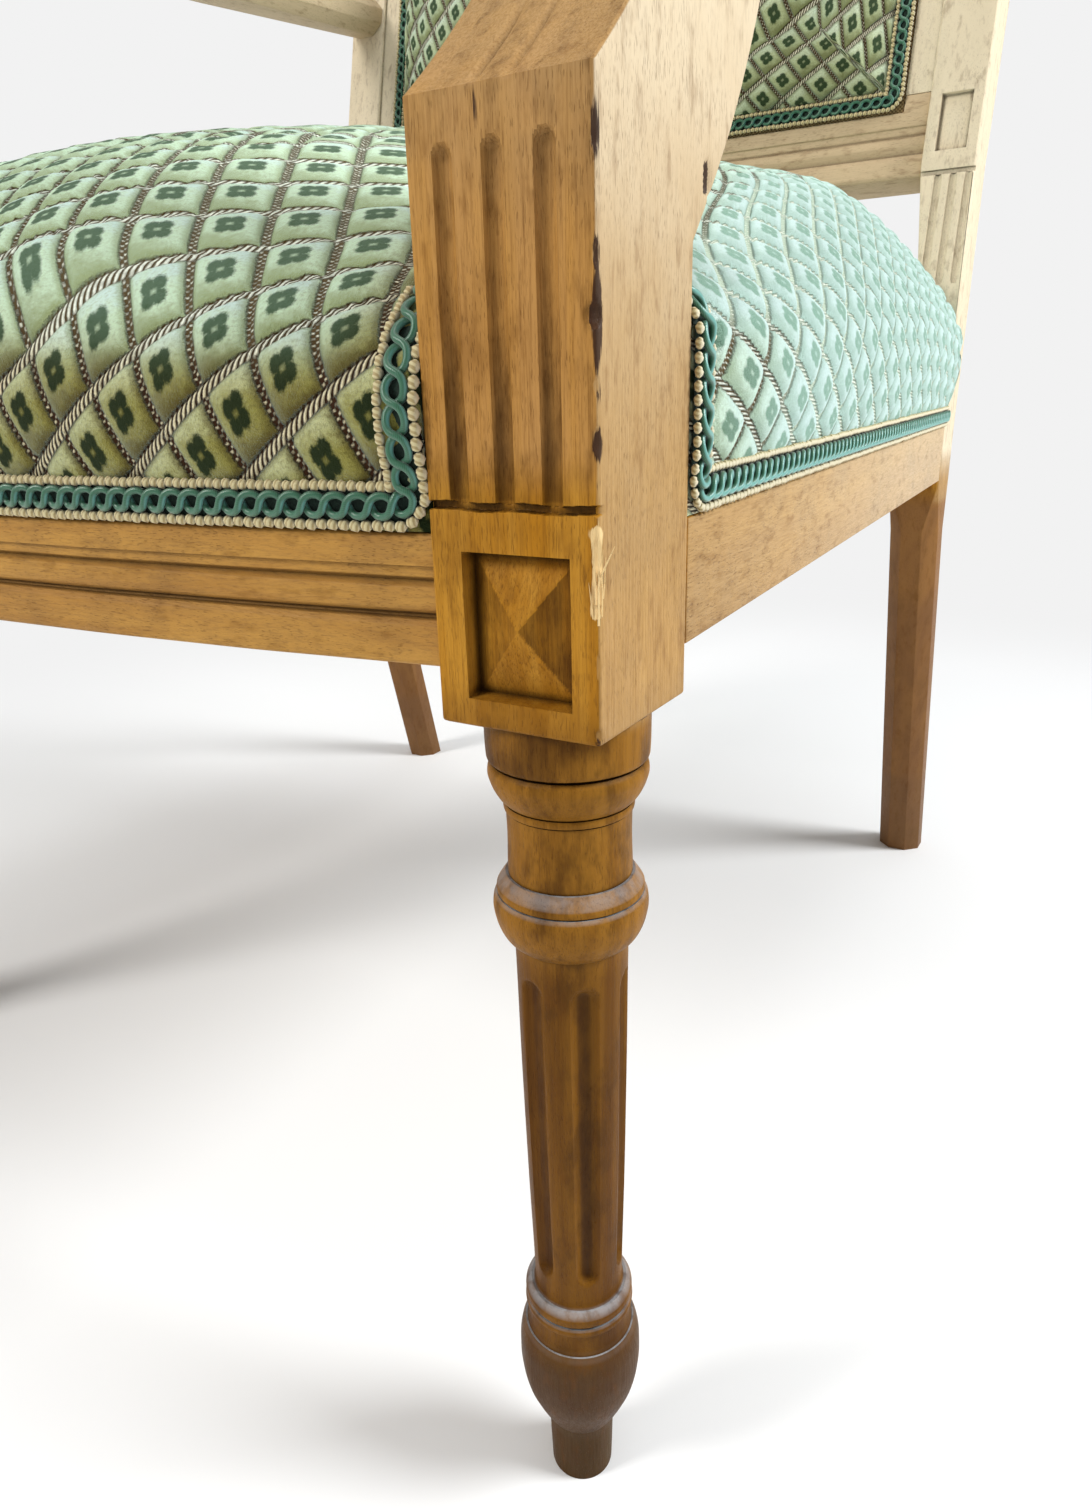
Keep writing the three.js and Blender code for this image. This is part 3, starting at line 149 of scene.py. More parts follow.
def pchip(xs, ys, at):
    """A smooth curve through points that never overshoots them."""
    xs = np.asarray(xs, float)
    ys = np.asarray(ys, float)
    gaps = np.diff(xs)
    slopes = np.diff(ys) / gaps
    tangents = np.zeros(len(xs))
    same = slopes[1:] * slopes[:-1] > 0
    first = 2 * gaps[1:] + gaps[:-1]
    second = gaps[1:] + 2 * gaps[:-1]
    with np.errstate(divide="ignore", invalid="ignore"):
        mean = (first + second) / (first / slopes[:-1] + second / slopes[1:])
    tangents[1:-1] = np.where(same, mean, 0)
    tangents[0] = slopes[0]
    tangents[-1] = slopes[-1]
    place = np.clip(np.searchsorted(xs, at, side="right") - 1, 0, len(xs) - 2)
    share = (at - xs[place]) / gaps[place]
    h00 = 2 * share**3 - 3 * share**2 + 1
    h10 = share**3 - 2 * share**2 + share
    h01 = -2 * share**3 + 3 * share**2
    h11 = share**3 - share**2
    return (h00 * ys[place] + h10 * gaps[place] * tangents[place]
            + h01 * ys[place + 1] + h11 * gaps[place] * tangents[place + 1])


def value_noise(points, size, seed):
    """Smooth noise from -1 to 1 at points (n, k), with bumps about size wide."""
    points = np.atleast_2d(np.asarray(points, float)) / size
    low = np.floor(points).astype(np.int64)
    part = points - low
    part = part * part * (3 - 2 * part)
    dims = points.shape[1]
    total = np.zeros(len(points))
    for corner in range(2 ** dims):
        code = np.full(len(points), seed * 7919 + 17, np.int64)
        weight = np.ones(len(points))
        for axis in range(dims):
            bit = (corner >> axis) & 1
            code = (code * 31 + (low[:, axis] + bit) * (374761393 + 668265263 * axis)) & 0x7FFFFFFF
            code = (code ^ (code >> 13)) * 1274126177 & 0x7FFFFFFF
            weight *= part[:, axis] if bit else 1 - part[:, axis]
        code ^= code >> 16
        total += weight * ((code & 0xFFFF) / 32767.5 - 1)
    return total


def grid_faces(rows, columns, closed=False):
    """Quads of a grid of rows by columns of points, with the columns joined into a ring if closed."""
    across = columns if closed else columns - 1
    i, j = np.meshgrid(np.arange(rows - 1), np.arange(across), indexing="ij")
    k = (j + 1) % columns
    quads = np.stack([i * columns + j, i * columns + k, (i + 1) * columns + k, (i + 1) * columns + j], -1)
    return quads.reshape(-1, 4)


def lofted(rings):
    """Points and faces of a closed tube through rings, an array of rings by points by 3."""
    rows, columns, _ = rings.shape
    end = np.arange(columns).reshape(1, -1)
    faces = [grid_faces(rows, columns, closed=True), end[:, ::-1], end + (rows - 1) * columns]
    return rings.reshape(-1, 3), faces


def merged(parts):
    """One list of points and faces from several."""
    points = []
    faces = []
    start = 0
    for some_points, some_faces in parts:
        points.append(some_points)
        faces.extend(group + start for group in some_faces)
        start += len(some_points)
    return np.concatenate(points), faces


def mirrored(points, faces):
    return points * [-1, 1, 1], [group[:, ::-1] for group in faces]


def facing_out(points, faces):
    """Faces turned so that the closed shape's volume is positive."""
    volume = 0
    for group in faces:
        corners = points[group]
        for k in range(1, group.shape[1] - 1):
            normals = np.cross(corners[:, k], corners[:, k + 1])
            volume += np.einsum("ij,ij->i", corners[:, 0], normals).sum()
    return faces if volume > 0 else [group[:, ::-1] for group in faces]


def with_zero(pairs):
    """Pairs of numbers as vectors whose third number is 0."""
    return np.concatenate([pairs, np.zeros((len(pairs), 1))], 1)


def unit(vectors):
    return vectors / np.maximum(np.linalg.norm(vectors, axis=-1, keepdims=True), 1e-9)


def run_lengths(path):
    """How far along a path each of its points lies."""
    return np.concatenate([[0], np.cumsum(np.linalg.norm(np.diff(path, axis=0), axis=1))])


def resampled(path, at, along):
    """A path whose points lie at known lengths, taken at other lengths."""
    return np.stack([np.interp(along, at, path[:, k]) for k in range(path.shape[1])], 1)


def vertex_normals(points, quads):
    corners = points[quads]
    facing = np.cross(corners[:, 2] - corners[:, 0], corners[:, 3] - corners[:, 1])
    normals = np.zeros_like(points)
    for k in range(4):
        np.add.at(normals, quads[:, k], facing)
    return unit(normals)


def turned(points, quads, toward):
    """Normals and quads, turned over where needed so that the last normal faces a given way."""
    normals = vertex_normals(points, quads)
    if normals[-1] @ np.array(toward, float) < 0:
        return -normals, quads[:, ::-1]
    return normals, quads


def add_values(mesh, values):
    """Numbers or vectors at a mesh's points, which the materials read by their names."""
    for key, data in values.items():
        data = np.asarray(data, np.float32)
        kind, field = ("FLOAT", "value") if data.ndim == 1 else ("FLOAT_VECTOR", "vector")
        mesh.attributes.new(key, kind, "POINT").data.foreach_set(field, data.ravel())


def build_mesh(name, points, faces, sharp=35, values=None):
    """A Blender mesh from points in drawing millimetres and groups of faces."""
    mesh = bpy.data.meshes.new(name)
    mesh.vertices.add(len(points))
    mesh.vertices.foreach_set("co", to_frame(points).astype(np.float32).ravel())
    corners = np.concatenate([group.ravel() for group in faces]).astype(np.int32)
    sizes = np.concatenate([np.full(len(group), group.shape[1]) for group in faces])
    starts = np.concatenate([[0], np.cumsum(sizes)[:-1]]).astype(np.int32)
    mesh.loops.add(len(corners))
    mesh.loops.foreach_set("vertex_index", corners)
    mesh.polygons.add(len(sizes))
    mesh.polygons.foreach_set("loop_start", starts)
    mesh.update(calc_edges=True)
    mesh.validate()
    add_values(mesh, values or {})
    mesh.shade_smooth()
    mesh.set_sharp_from_angle(angle=math.radians(sharp))
    return mesh


def in_scene(name, data):
    made = bpy.data.objects.new(name, data)
    bpy.context.scene.collection.objects.link(made)
    return made


def add_piece(name, mesh, material, nodes=()):
    """A piece of the chair: in the scene, on the root body, with its finish and the nodes it stands for."""
    piece = in_scene(name, mesh)
    if material is not None:
        piece.data.materials.clear()
        piece.data.materials.append(material)
    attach(piece, "root")
    if nodes:
        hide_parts(*nodes)
    return piece


def refined(node, bevel=0.8, angle=25):
    """A copy of a CAD node's mesh with flat faces joined and its sharp edges rounded."""
    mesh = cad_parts[node].data.copy()
    mesh.name = node + "_fine"
    work = bmesh.new()
    work.from_mesh(mesh)
    bmesh.ops.remove_doubles(work, verts=work.verts, dist=1e-6)
    bmesh.ops.dissolve_limit(work, angle_limit=math.radians(0.6), verts=work.verts, edges=work.edges)
    sharp = [e for e in work.edges if len(e.link_faces) == 2 and e.calc_face_angle(0) > math.radians(angle)]
    bmesh.ops.bevel(work, geom=sharp, offset=bevel * MM, segments=2, profile=0.5, affect="EDGES",
                    clamp_overlap=True)
    work.to_mesh(mesh)
    work.free()
    mesh.shade_smooth()
    mesh.set_sharp_from_angle(angle=math.radians(30))
    return mesh


# The chair's own curves

def side_half(y):
    """Half the width over the side rails, y back from the front."""
    return lerp(POST_OUTER, SIDE_REAR_HALF, (y - POST_DEPTH) / (STILE_SETBACK - POST_DEPTH))


def bow(x):
    """How far the front rail bows forward between the posts, as a negative y."""
    return -RAIL_BOW * (1 - (x / POST_INNER) ** 2)


def sweep_curve(start, end, shares):
    """A cubic curve in y, z whose two handles lie at shares of the way."""
    t = np.linspace(0, 1, 80)
    handles = [[lerp(start[k], end[k], share[k]) for k in (0, 1)] for share in shares]
    return [(1 - t)**3 * start[k] + 3 * t * (1 - t)**2 * handles[0][k] + 3 * t**2 * (1 - t) * handles[1][k]
            + t**3 * end[k] for k in (0, 1)]


FRONT_SWEEP = sweep_curve((0, DIE_TOP), (SWEEP, WAIST_HEIGHT), FRONT_SHARES)
REAR_SWEEP = sweep_curve((POST_DEPTH, SUPPORT_REAR_START), (WAIST_REAR, WAIST_HEIGHT), REAR_SHARES)


def post_front(z):
    return np.interp(z, [0, *FRONT_SWEEP[1], SUPPORT_TOP], [0, *FRONT_SWEEP[0], TOP_FRONT])


def post_rear(z):
    return np.interp(z, [0, *REAR_SWEEP[1], SUPPORT_TOP], [POST_DEPTH, *REAR_SWEEP[0], TOP_REAR])


def post_span(z):
    share = np.clip((z - DIE_TOP) / (SUPPORT_TOP - DIE_TOP), 0, 1)
    return lerp(POST_WIDTH, TOP_WIDTH, share)


def back_place(points):
    """From the back's own frame (x, into the back, up the slope) to the drawing."""
    points = np.asarray(points, float)
    y = STILE_SETBACK + points[..., 1] * math.cos(BACK_ANGLE) + points[..., 2] * math.sin(BACK_ANGLE)
    z = STILE_SLOPE_START - points[..., 1] * math.sin(BACK_ANGLE) + points[..., 2] * math.cos(BACK_ANGLE)
    return np.stack([points[..., 0], y, z], -1)


# Camera, at the photograph's viewing angle

CAMERA_PLACE = (397.391, -201.984, 373.391)
CAMERA_YAW = math.radians(31.288)
CAMERA_PITCH = math.radians(-20.387)
CAMERA_ROLL = math.radians(1.649)
FOCAL_PIXELS = 1009.231
PICTURE_HEIGHT = 1512
SENSOR = 36.0


def make_camera():
    forward = Vector((-math.sin(CAMERA_YAW) * math.cos(CAMERA_PITCH),
                      math.cos(CAMERA_YAW) * math.cos(CAMERA_PITCH), math.sin(CAMERA_PITCH)))
    level = Vector((math.cos(CAMERA_YAW), math.sin(CAMERA_YAW), 0))
    down = forward.cross(level)
    across = math.cos(CAMERA_ROLL) * level + math.sin(CAMERA_ROLL) * down
    downward = -math.sin(CAMERA_ROLL) * level + math.cos(CAMERA_ROLL) * down
    data = bpy.data.cameras.new("camera")
    data.sensor_fit = "AUTO"
    data.sensor_width = SENSOR
    data.lens = FOCAL_PIXELS / PICTURE_HEIGHT * SENSOR
    data.clip_start = 0.01
    data.clip_end = 50
    camera = in_scene("camera", data)
    turn = Matrix((across, -downward, -forward)).transposed().to_4x4()
    camera.matrix_world = Matrix.Translation(Vector(to_frame(CAMERA_PLACE)[0])) @ turn
    bpy.context.scene.camera = camera


make_camera()


# A small writer for node materials

class Wire:
    """A value in a node tree that can be added, subtracted and multiplied."""

    def __init__(self, graph, socket):
        self.graph = graph
        self.socket = socket

    def __add__(self, other):
        return self.graph.math("ADD", self, other)

    def __sub__(self, other):
        return self.graph.math("SUBTRACT", self, other)

    def __rsub__(self, other):
        return self.graph.math("SUBTRACT", other, self)

    def __mul__(self, other):
        return self.graph.math("MULTIPLY", self, other)



class Graph:
    """A material with a Principled shader, written with few words."""

    def __init__(self, name, roughness=0.5, **fixed):
        self.material = bpy.data.materials.new(name)
        self.material.use_nodes = True
        self.tree = self.material.node_tree
        self.shader = next(n for n in self.tree.nodes if n.type == "BSDF_PRINCIPLED")
        self.shader.inputs["Roughness"].default_value = roughness
        for key, value in fixed.items():
            self.shader.inputs[key.replace("_", " ")].default_value = value

    def node(self, kind, **settings):
        made = self.tree.nodes.new(kind)
        for key, value in settings.items():
            setattr(made, key, value)
        return made

    def feed(self, socket, value):
        """Links a wire to a socket, or sets the socket to a plain value."""
        if isinstance(value, Wire):
            self.tree.links.new(value.socket, socket)
        elif value is not None:
            socket.default_value = value

    def math(self, operation, a, b=None):
        made = self.node("ShaderNodeMath", operation=operation)
        self.feed(made.inputs[0], a)
        self.feed(made.inputs[1], b)
        return Wire(self, made.outputs[0])

    def vector(self, operation, a, b):
        made = self.node("ShaderNodeVectorMath", operation=operation)
        self.feed(made.inputs[0], a)
        self.feed(made.inputs[1], b)
        return Wire(self, made.outputs["Value" if operation == "DOT_PRODUCT" else "Vector"])

    def sine(self, run, pitch):
        """A wave from -1 to 1 along a run, one turn for each pitch."""
        return self.math("SINE", run * (2 * math.pi / pitch))

    def position(self):
        return Wire(self, self.node("ShaderNodeTexCoord").outputs["Object"])

    def attribute(self, name, output="Fac"):
        return Wire(self, self.node("ShaderNodeAttribute", attribute_name=name).outputs[output])

    def noise(self, at, scale, detail=2.0, roughness=0.5, distortion=0.0):
        made = self.node("ShaderNodeTexNoise")
        given = {"Vector": at, "Scale": scale, "Detail": detail, "Roughness": roughness,
                 "Distortion": distortion}
        for key, value in given.items():
            self.feed(made.inputs[key], value)
        return Wire(self, made.outputs["Fac"])

    def ramp(self, value, low, high, start=0.0, end=1.0):
        """Goes smoothly from start to end while a value goes from low to high."""
        made = self.node("ShaderNodeMapRange", interpolation_type="SMOOTHSTEP")
        for socket, given in zip(made.inputs, (value, low, high, start, end)):
            self.feed(socket, given)
        return Wire(self, made.outputs["Result"])

    def mix(self, share, a, b):
        made = self.node("ShaderNodeMix", data_type="RGBA", blend_type="MIX")
        self.feed(made.inputs[0], share)
        self.feed(made.inputs[6], a)
        self.feed(made.inputs[7], b)
        return Wire(self, made.outputs[2])

    def corners(self, distance):
        """How open a point is: 1 on open faces, towards 0 in corners of the piece itself."""
        made = self.node("ShaderNodeAmbientOcclusion", only_local=True, samples=6)
        made.inputs["Distance"].default_value = distance * MM
        return Wire(self, made.outputs["AO"])

    def split(self, vector):
        """The three numbers of a vector."""
        made = self.node("ShaderNodeSeparateXYZ")
        self.feed(made.inputs[0], vector)
        return [Wire(self, socket) for socket in made.outputs]

    def facing(self):
        return self.split(Wire(self, self.node("ShaderNodeNewGeometry").outputs["Normal"]))

    def bump(self, height, distance, strength=1.0):
        made = self.node("ShaderNodeBump")
        made.inputs["Distance"].default_value = distance * MM
        made.inputs["Strength"].default_value = strength
        self.feed(made.inputs["Height"], height)
        return Wire(self, made.outputs["Normal"])

    def finish(self, color, roughness=None, normal=None):
        for key, value in (("Base Color", color), ("Roughness", roughness), ("Normal", normal)):
            self.feed(self.shader.inputs[key], value)
        return self.material


def srgb(red, green, blue):
    """A colour as it looks on a screen, from 0 to 255, for a shader."""
    def linear(value):
        value /= 255
        return value / 12.92 if value <= 0.04045 else ((value + 0.055) / 1.055) ** 2.4
    return (linear(red), linear(green), linear(blue), 1.0)


# Wood: stripped and waxed beech, its outward side faces paler with painted light, paler high up, darker down
# the legs

WOOD_PALE = srgb(194, 140, 50)
WOOD_WARM = srgb(170, 114, 26)
WOOD_DEEP = srgb(102, 60, 12)
WOOD_LEG = srgb(82, 48, 8)
WOOD_LEG_WARM = srgb(112, 72, 18)
WOOD_TURNED = srgb(144, 98, 32)
WOOD_BULB = srgb(60, 41, 28)
WOOD_FOOT = srgb(50, 34, 12)
# Paler tones: the lit ones are painted light on the outward side faces, and the rails take a share of the
# pale one all over
WOOD_PALE_AND_LIT = srgb(180, 148, 102)
WOOD_LIT_DEEP = srgb(150, 116, 70)
WOOD_PALEST_AND_LIT = srgb(226, 212, 184)
WOOD_UPPER = srgb(186, 142, 88)
WOOD_REAR_LEG = srgb(142, 104, 72)
# Painted shade in hollows, and darker blotches on the legs
WOOD_SHADE_AND_GRIME = srgb(58, 32, 8)
WOOD_FLECK = srgb(88, 50, 18)
# Painted shade in corners and hollows
WOOD_CORNER_SHADE = srgb(34, 20, 10)
WOOD_STAIN = srgb(40, 22, 24)
WOOD_FRESH = srgb(226, 196, 142)
# Dust, which also stands in for a painted highlight on the turning's rings
WOOD_DUST_AND_SHEEN = srgb(176, 180, 184)


def leg_color(g, y, z, patch, broad, fibre, blots):
    """A darker leg, blotched, with a warmer turning and a dark bulb and foot."""
    color = g.mix(g.ramp(broad + (fibre - 0.5) * 0.5, 0.35, 0.7), WOOD_LEG, WOOD_LEG_WARM)
    warm = g.ramp(z + patch * 0.02, 0.22, 0.24)
    warm *= g.ramp(broad + (fibre - 0.5) * 0.6, 0.25, 0.6, 0.35, 0.95)
    color = g.mix(warm, color, WOOD_TURNED)
    color = g.mix(g.ramp(z + patch * 0.02, 0.088, 0.072), color, WOOD_BULB)
    color = g.mix(g.ramp(z, 0.034, 0.02), color, WOOD_FOOT)
    color = g.mix(g.ramp(y, -0.1, 0.2) * 0.6, color, WOOD_REAR_LEG)
    return g.mix(g.ramp(blots, 0.46, 0.68) * g.ramp(y, 0.1, -0.1, 0.2, 0.65), color, WOOD_SHADE_AND_GRIME)


def painted_side_light(g, color, along, is_worn, x, y, z, patch, fibre):
    """Painted light that makes the outward side faces paler, and paler wood high up and towards the rear."""
    lit_outer = g.ramp(g.facing()[0] * g.math("SIGN", x), 0.5, 0.85) * g.ramp(z, 0.287, 0.292)
    if is_worn:
        lit_outer *= 1 - g.attribute("front")
    high = g.ramp(z + patch * 0.05, 0.405, 0.50)
    lit_height = g.ramp(z + patch * 0.05, 0.37, 0.50)
    if along == "y":
        rear = g.ramp(y + patch * 0.1, -0.35, 0.2) * 0.6
    else:
        rear = g.ramp(y + patch * 0.1, -0.02, 0.2) * g.ramp(z, 0.30, 0.325)
    if along == "x":
        rear *= 0.45
    pale = g.mix(g.ramp(fibre, 0.35, 0.7) * 0.6, WOOD_PALE_AND_LIT, WOOD_LIT_DEEP)
    pale = g.mix(g.math("MAXIMUM", rear, lit_outer * lit_height * 0.85), pale, WOOD_PALEST_AND_LIT)
    # Painted light: the outward side faces are painted paler, more so higher up
    side = lit_outer * g.ramp(z, 0.29, 0.40, 0.66, 0.94)
    share = g.math("MAXIMUM", g.math("MAXIMUM", side, rear * 0.95), high * 0.9)
    return g.mix(share, color, pale)


def worn(g, color, z, fibre, mottle):
    """Painted shade and darker blotches in the carving, dust with a painted highlight on the turning, a
    stained arris and freshly torn wood.
    """
    # Painted shade in flutes, kerf, facets and along the arris, with darker blotches
    shade_and_grime = g.ramp(g.attribute("shade_and_grime") + (mottle - 0.5) * 0.6, 0.2, 0.9)
    color = g.mix(shade_and_grime * 0.75, color, WOOD_SHADE_AND_GRIME)
    # Dust on the turning's upward faces, whose pale grey also stands in for a painted highlight there
    dust = g.ramp(g.facing()[2], 0.3, 0.85) * g.ramp(z, 0.246, 0.24) * g.ramp(mottle, 0.3, 0.6, 0.25, 0.6)
    dust *= 1 - g.ramp(z, 0.090, 0.093) * g.ramp(z, 0.216, 0.212)
    color = g.mix(dust, color, WOOD_DUST_AND_SHEEN)
    ragged = (fibre - 0.5) * 0.7 + (mottle - 0.5) * 0.6
    color = g.mix(g.ramp(g.attribute("stain") + ragged, 0.4, 0.55) * 0.9, color, WOOD_STAIN)
    return g.mix(g.ramp(g.attribute("fresh") + ragged, 0.4, 0.52), color, WOOD_FRESH)


def wood_material(name, along, is_worn=False, corner_shade=0.9):
    """Beech with its grain along an axis. Heights and depths in it are the frame's metres."""
    g = Graph(name, Specular_IOR_Level=0.07)
    at = g.position()
    x, y, z = g.split(at)

    def stretched(share):
        scale = [1.0, 1.0, 1.0]
        scale["xyz".index(along)] = share
        return g.vector("MULTIPLY", at, tuple(scale))

    broad = g.noise(stretched(0.03), 90, detail=3, roughness=0.6, distortion=0.3)
    fibre = g.noise(stretched(0.03), 1500, detail=4, roughness=0.7)
    patch = g.noise(at, 26, detail=4, roughness=0.65)
    mottle = g.noise(stretched(0.35), 260, detail=3, roughness=0.6)
    fleck = g.ramp(g.noise(stretched(0.11), 3300, detail=1, roughness=0.5), 0.60, 0.72)
    fleck *= g.ramp(patch, 0.35, 0.6, 0.35, 1.0)
    color = g.mix(g.ramp(broad, 0.35, 0.65), WOOD_WARM, WOOD_PALE)
    upper = g.mix(g.ramp(broad, 0.3, 0.7) * 0.5, WOOD_UPPER, WOOD_WARM)
    color = g.mix(g.ramp(z, 0.346, 0.36) * 0.75, color, upper)
    color = g.mix(g.ramp(patch, 0.42, 0.72) * 0.5, color, WOOD_DEEP)
    color = g.mix(g.ramp(fibre, 0.42, 0.72) * 0.45, color, WOOD_DEEP)
    if along == "x":
        color = g.mix(0.32, color, WOOD_PALE_AND_LIT)
    if along == "z":
        blots = g.noise(stretched(0.45), 75, detail=4, roughness=0.7)
        leg = leg_color(g, y, z, patch, broad, fibre, blots)
        color = g.mix(g.ramp(z, 0.305, 0.284) * 0.92, color, leg)
    color = painted_side_light(g, color, along, is_worn, x, y, z, patch, fibre)
    color = g.mix(g.ramp(mottle, 0.5, 0.75) * 0.35, color, WOOD_DEEP)
    color = g.mix(fleck * 0.38, color, WOOD_FLECK)
    # Painted shade: darker where the piece's own corners and hollows close in
    color = g.mix(g.ramp(g.corners(3.5), 0.45, 0.9, 1.0, 0.0) * corner_shade, color, WOOD_CORNER_SHADE)
    if is_worn:
        color = worn(g, color, z, fibre, mottle)
    relief = fibre * 0.6 + fleck * -0.5 + mottle * 0.5
    return g.finish(color, g.ramp(fibre, 0.3, 0.7, 0.36, 0.52), g.bump(relief, 0.25, strength=0.8))


WOOD = {axis: wood_material("beech_" + axis, axis, corner_shade=0.75) for axis in "xyz"}
WOOD_WORN = wood_material("beech_worn", "z", is_worn=True)


def hidden_wood_material():
    g = Graph("beech_inside", roughness=0.7)
    grain = g.noise(g.vector("MULTIPLY", g.position(), (0.1, 1.0, 1.0)), 700, detail=4)
    color = g.mix(g.ramp(grain, 0.3, 0.7), srgb(196, 158, 112), srgb(158, 116, 74))
    return g.finish(color, g.ramp(grain, 0.3, 0.7, 0.6, 0.8), g.bump(grain, 0.2))


# Velvet: lozenges of cut pile between a twisted cord one way and a stitched line the other way.
# Its lattice is in fabric coordinates, millimetres across and up the cloth

LATTICE_CORD = np.array([14.3, 10.3])
LATTICE_LINE = np.array([10.9, -21.2])
LATTICE_START = np.array([150.4, 368.4])
LATTICE_INVERSE = np.linalg.inv(np.stack([LATTICE_CORD, LATTICE_LINE], 1))
SIDE_CORD = np.array([12.0, 22.0])
SIDE_LINE = np.array([12.8, -12.5])
SIDE_INVERSE = np.linalg.inv(np.stack([SIDE_CORD, SIDE_LINE], 1))
SIDE_ANCHOR = np.array([300.0, 540.0])
CELL_AREA = abs(LATTICE_CORD[0] * LATTICE_LINE[1] - LATTICE_CORD[1] * LATTICE_LINE[0])
CORD_STEP = float(np.linalg.norm(LATTICE_CORD))
LINE_STEP = float(np.linalg.norm(LATTICE_LINE))
CORD_GAP = float(CELL_AREA / CORD_STEP)
LINE_GAP = float(CELL_AREA / LINE_STEP)
CORD_HALF = 1.9
LINE_HALF = 1.35
PILE_HEIGHT = 2.4
PILE_ROUND = 1.1
PILE_CROWN = 0.7
CORD_HEIGHT = 1.3
LINE_HEIGHT = 0.6
TWIST_PITCH = 2.3
# How deep the cloth's ground lies under the smooth shape that it follows
GROUND_DEPTH = 1.3


def plain_cells(fabric):
    """Lattice places of fabric points (n, 2): whole numbers are the middles of the lozenges."""
    return (fabric - LATTICE_START) @ LATTICE_INVERSE.T


def seat_cells(fabric):
    """Lattice places on the seat, where the cloth is pulled at the corner post and down the side."""
    s = fabric[:, 0]
    t = fabric[:, 1]
    pull = smoothstep(380, 430, t) * (1 - smoothstep(520, 700, t))
    pull *= smoothstep(10, 110, s) * (1 - smoothstep(222, 262, s))
    pulled = fabric + np.stack([-0.33 * (s - 172) * pull, 0.28 * (s - 172) * pull], 1)
    side = plain_cells(SIDE_ANCHOR) + (fabric - SIDE_ANCHOR) @ SIDE_INVERSE.T
    return lerp(plain_cells(pulled), side, smoothstep(232, 318, s)[:, None])


def velvet_relief(cells):
    """Height of the cloth over its ground, in millimetres: pillowy pile, a round cord and a line."""
    off = np.abs(cells - np.round(cells))
    cord = (0.5 - off[:, 1]) * CORD_GAP
    line = (0.5 - off[:, 0]) * LINE_GAP
    to_cord = cord - CORD_HALF
    to_line = line - LINE_HALF
    edge = -PILE_ROUND * np.log(np.exp(-to_cord / PILE_ROUND) + np.exp(-to_line / PILE_ROUND))
    pile = PILE_HEIGHT * (1 - np.exp(-np.maximum(edge + 0.7, 0) / PILE_ROUND))
    pile += PILE_CROWN * (1 - np.exp(-np.maximum(edge, 0) / 4.0))
    twist = CORD_HEIGHT * np.sqrt(np.maximum(0, 1 - (cord / 1.6) ** 2))
    chain = LINE_HEIGHT * np.sqrt(np.maximum(0, 1 - (line / 1.1) ** 2))
    return np.maximum(pile, np.maximum(twist, chain))


# Pile, motif and cord colours for the front, the lit top and the lit side: the top and side ones are painted
# light
PILE_OLIVE = srgb(156, 150, 76)
PILE_HIGHLIGHT = srgb(204, 206, 152)
PILE_TOP = srgb(214, 238, 206)
PILE_MINT = srgb(218, 240, 236)
PILE_SHADE_FRONT = srgb(92, 78, 34)
PILE_SHADE = srgb(150, 162, 106)
PILE_SHADE_MINT = srgb(178, 208, 194)
PILE_GREEN = srgb(16, 34, 12)
PILE_GREEN_TOP = srgb(22, 62, 34)
PILE_GREEN_MINT = srgb(110, 158, 130)
CORD_PALE = srgb(234, 222, 182)
CORD_DARK = srgb(54, 32, 16)
CORD_LIT_TOP = srgb(92, 76, 46)
CORD_MINT = srgb(188, 204, 182)
CORD_LIGHT = srgb(240, 244, 228)


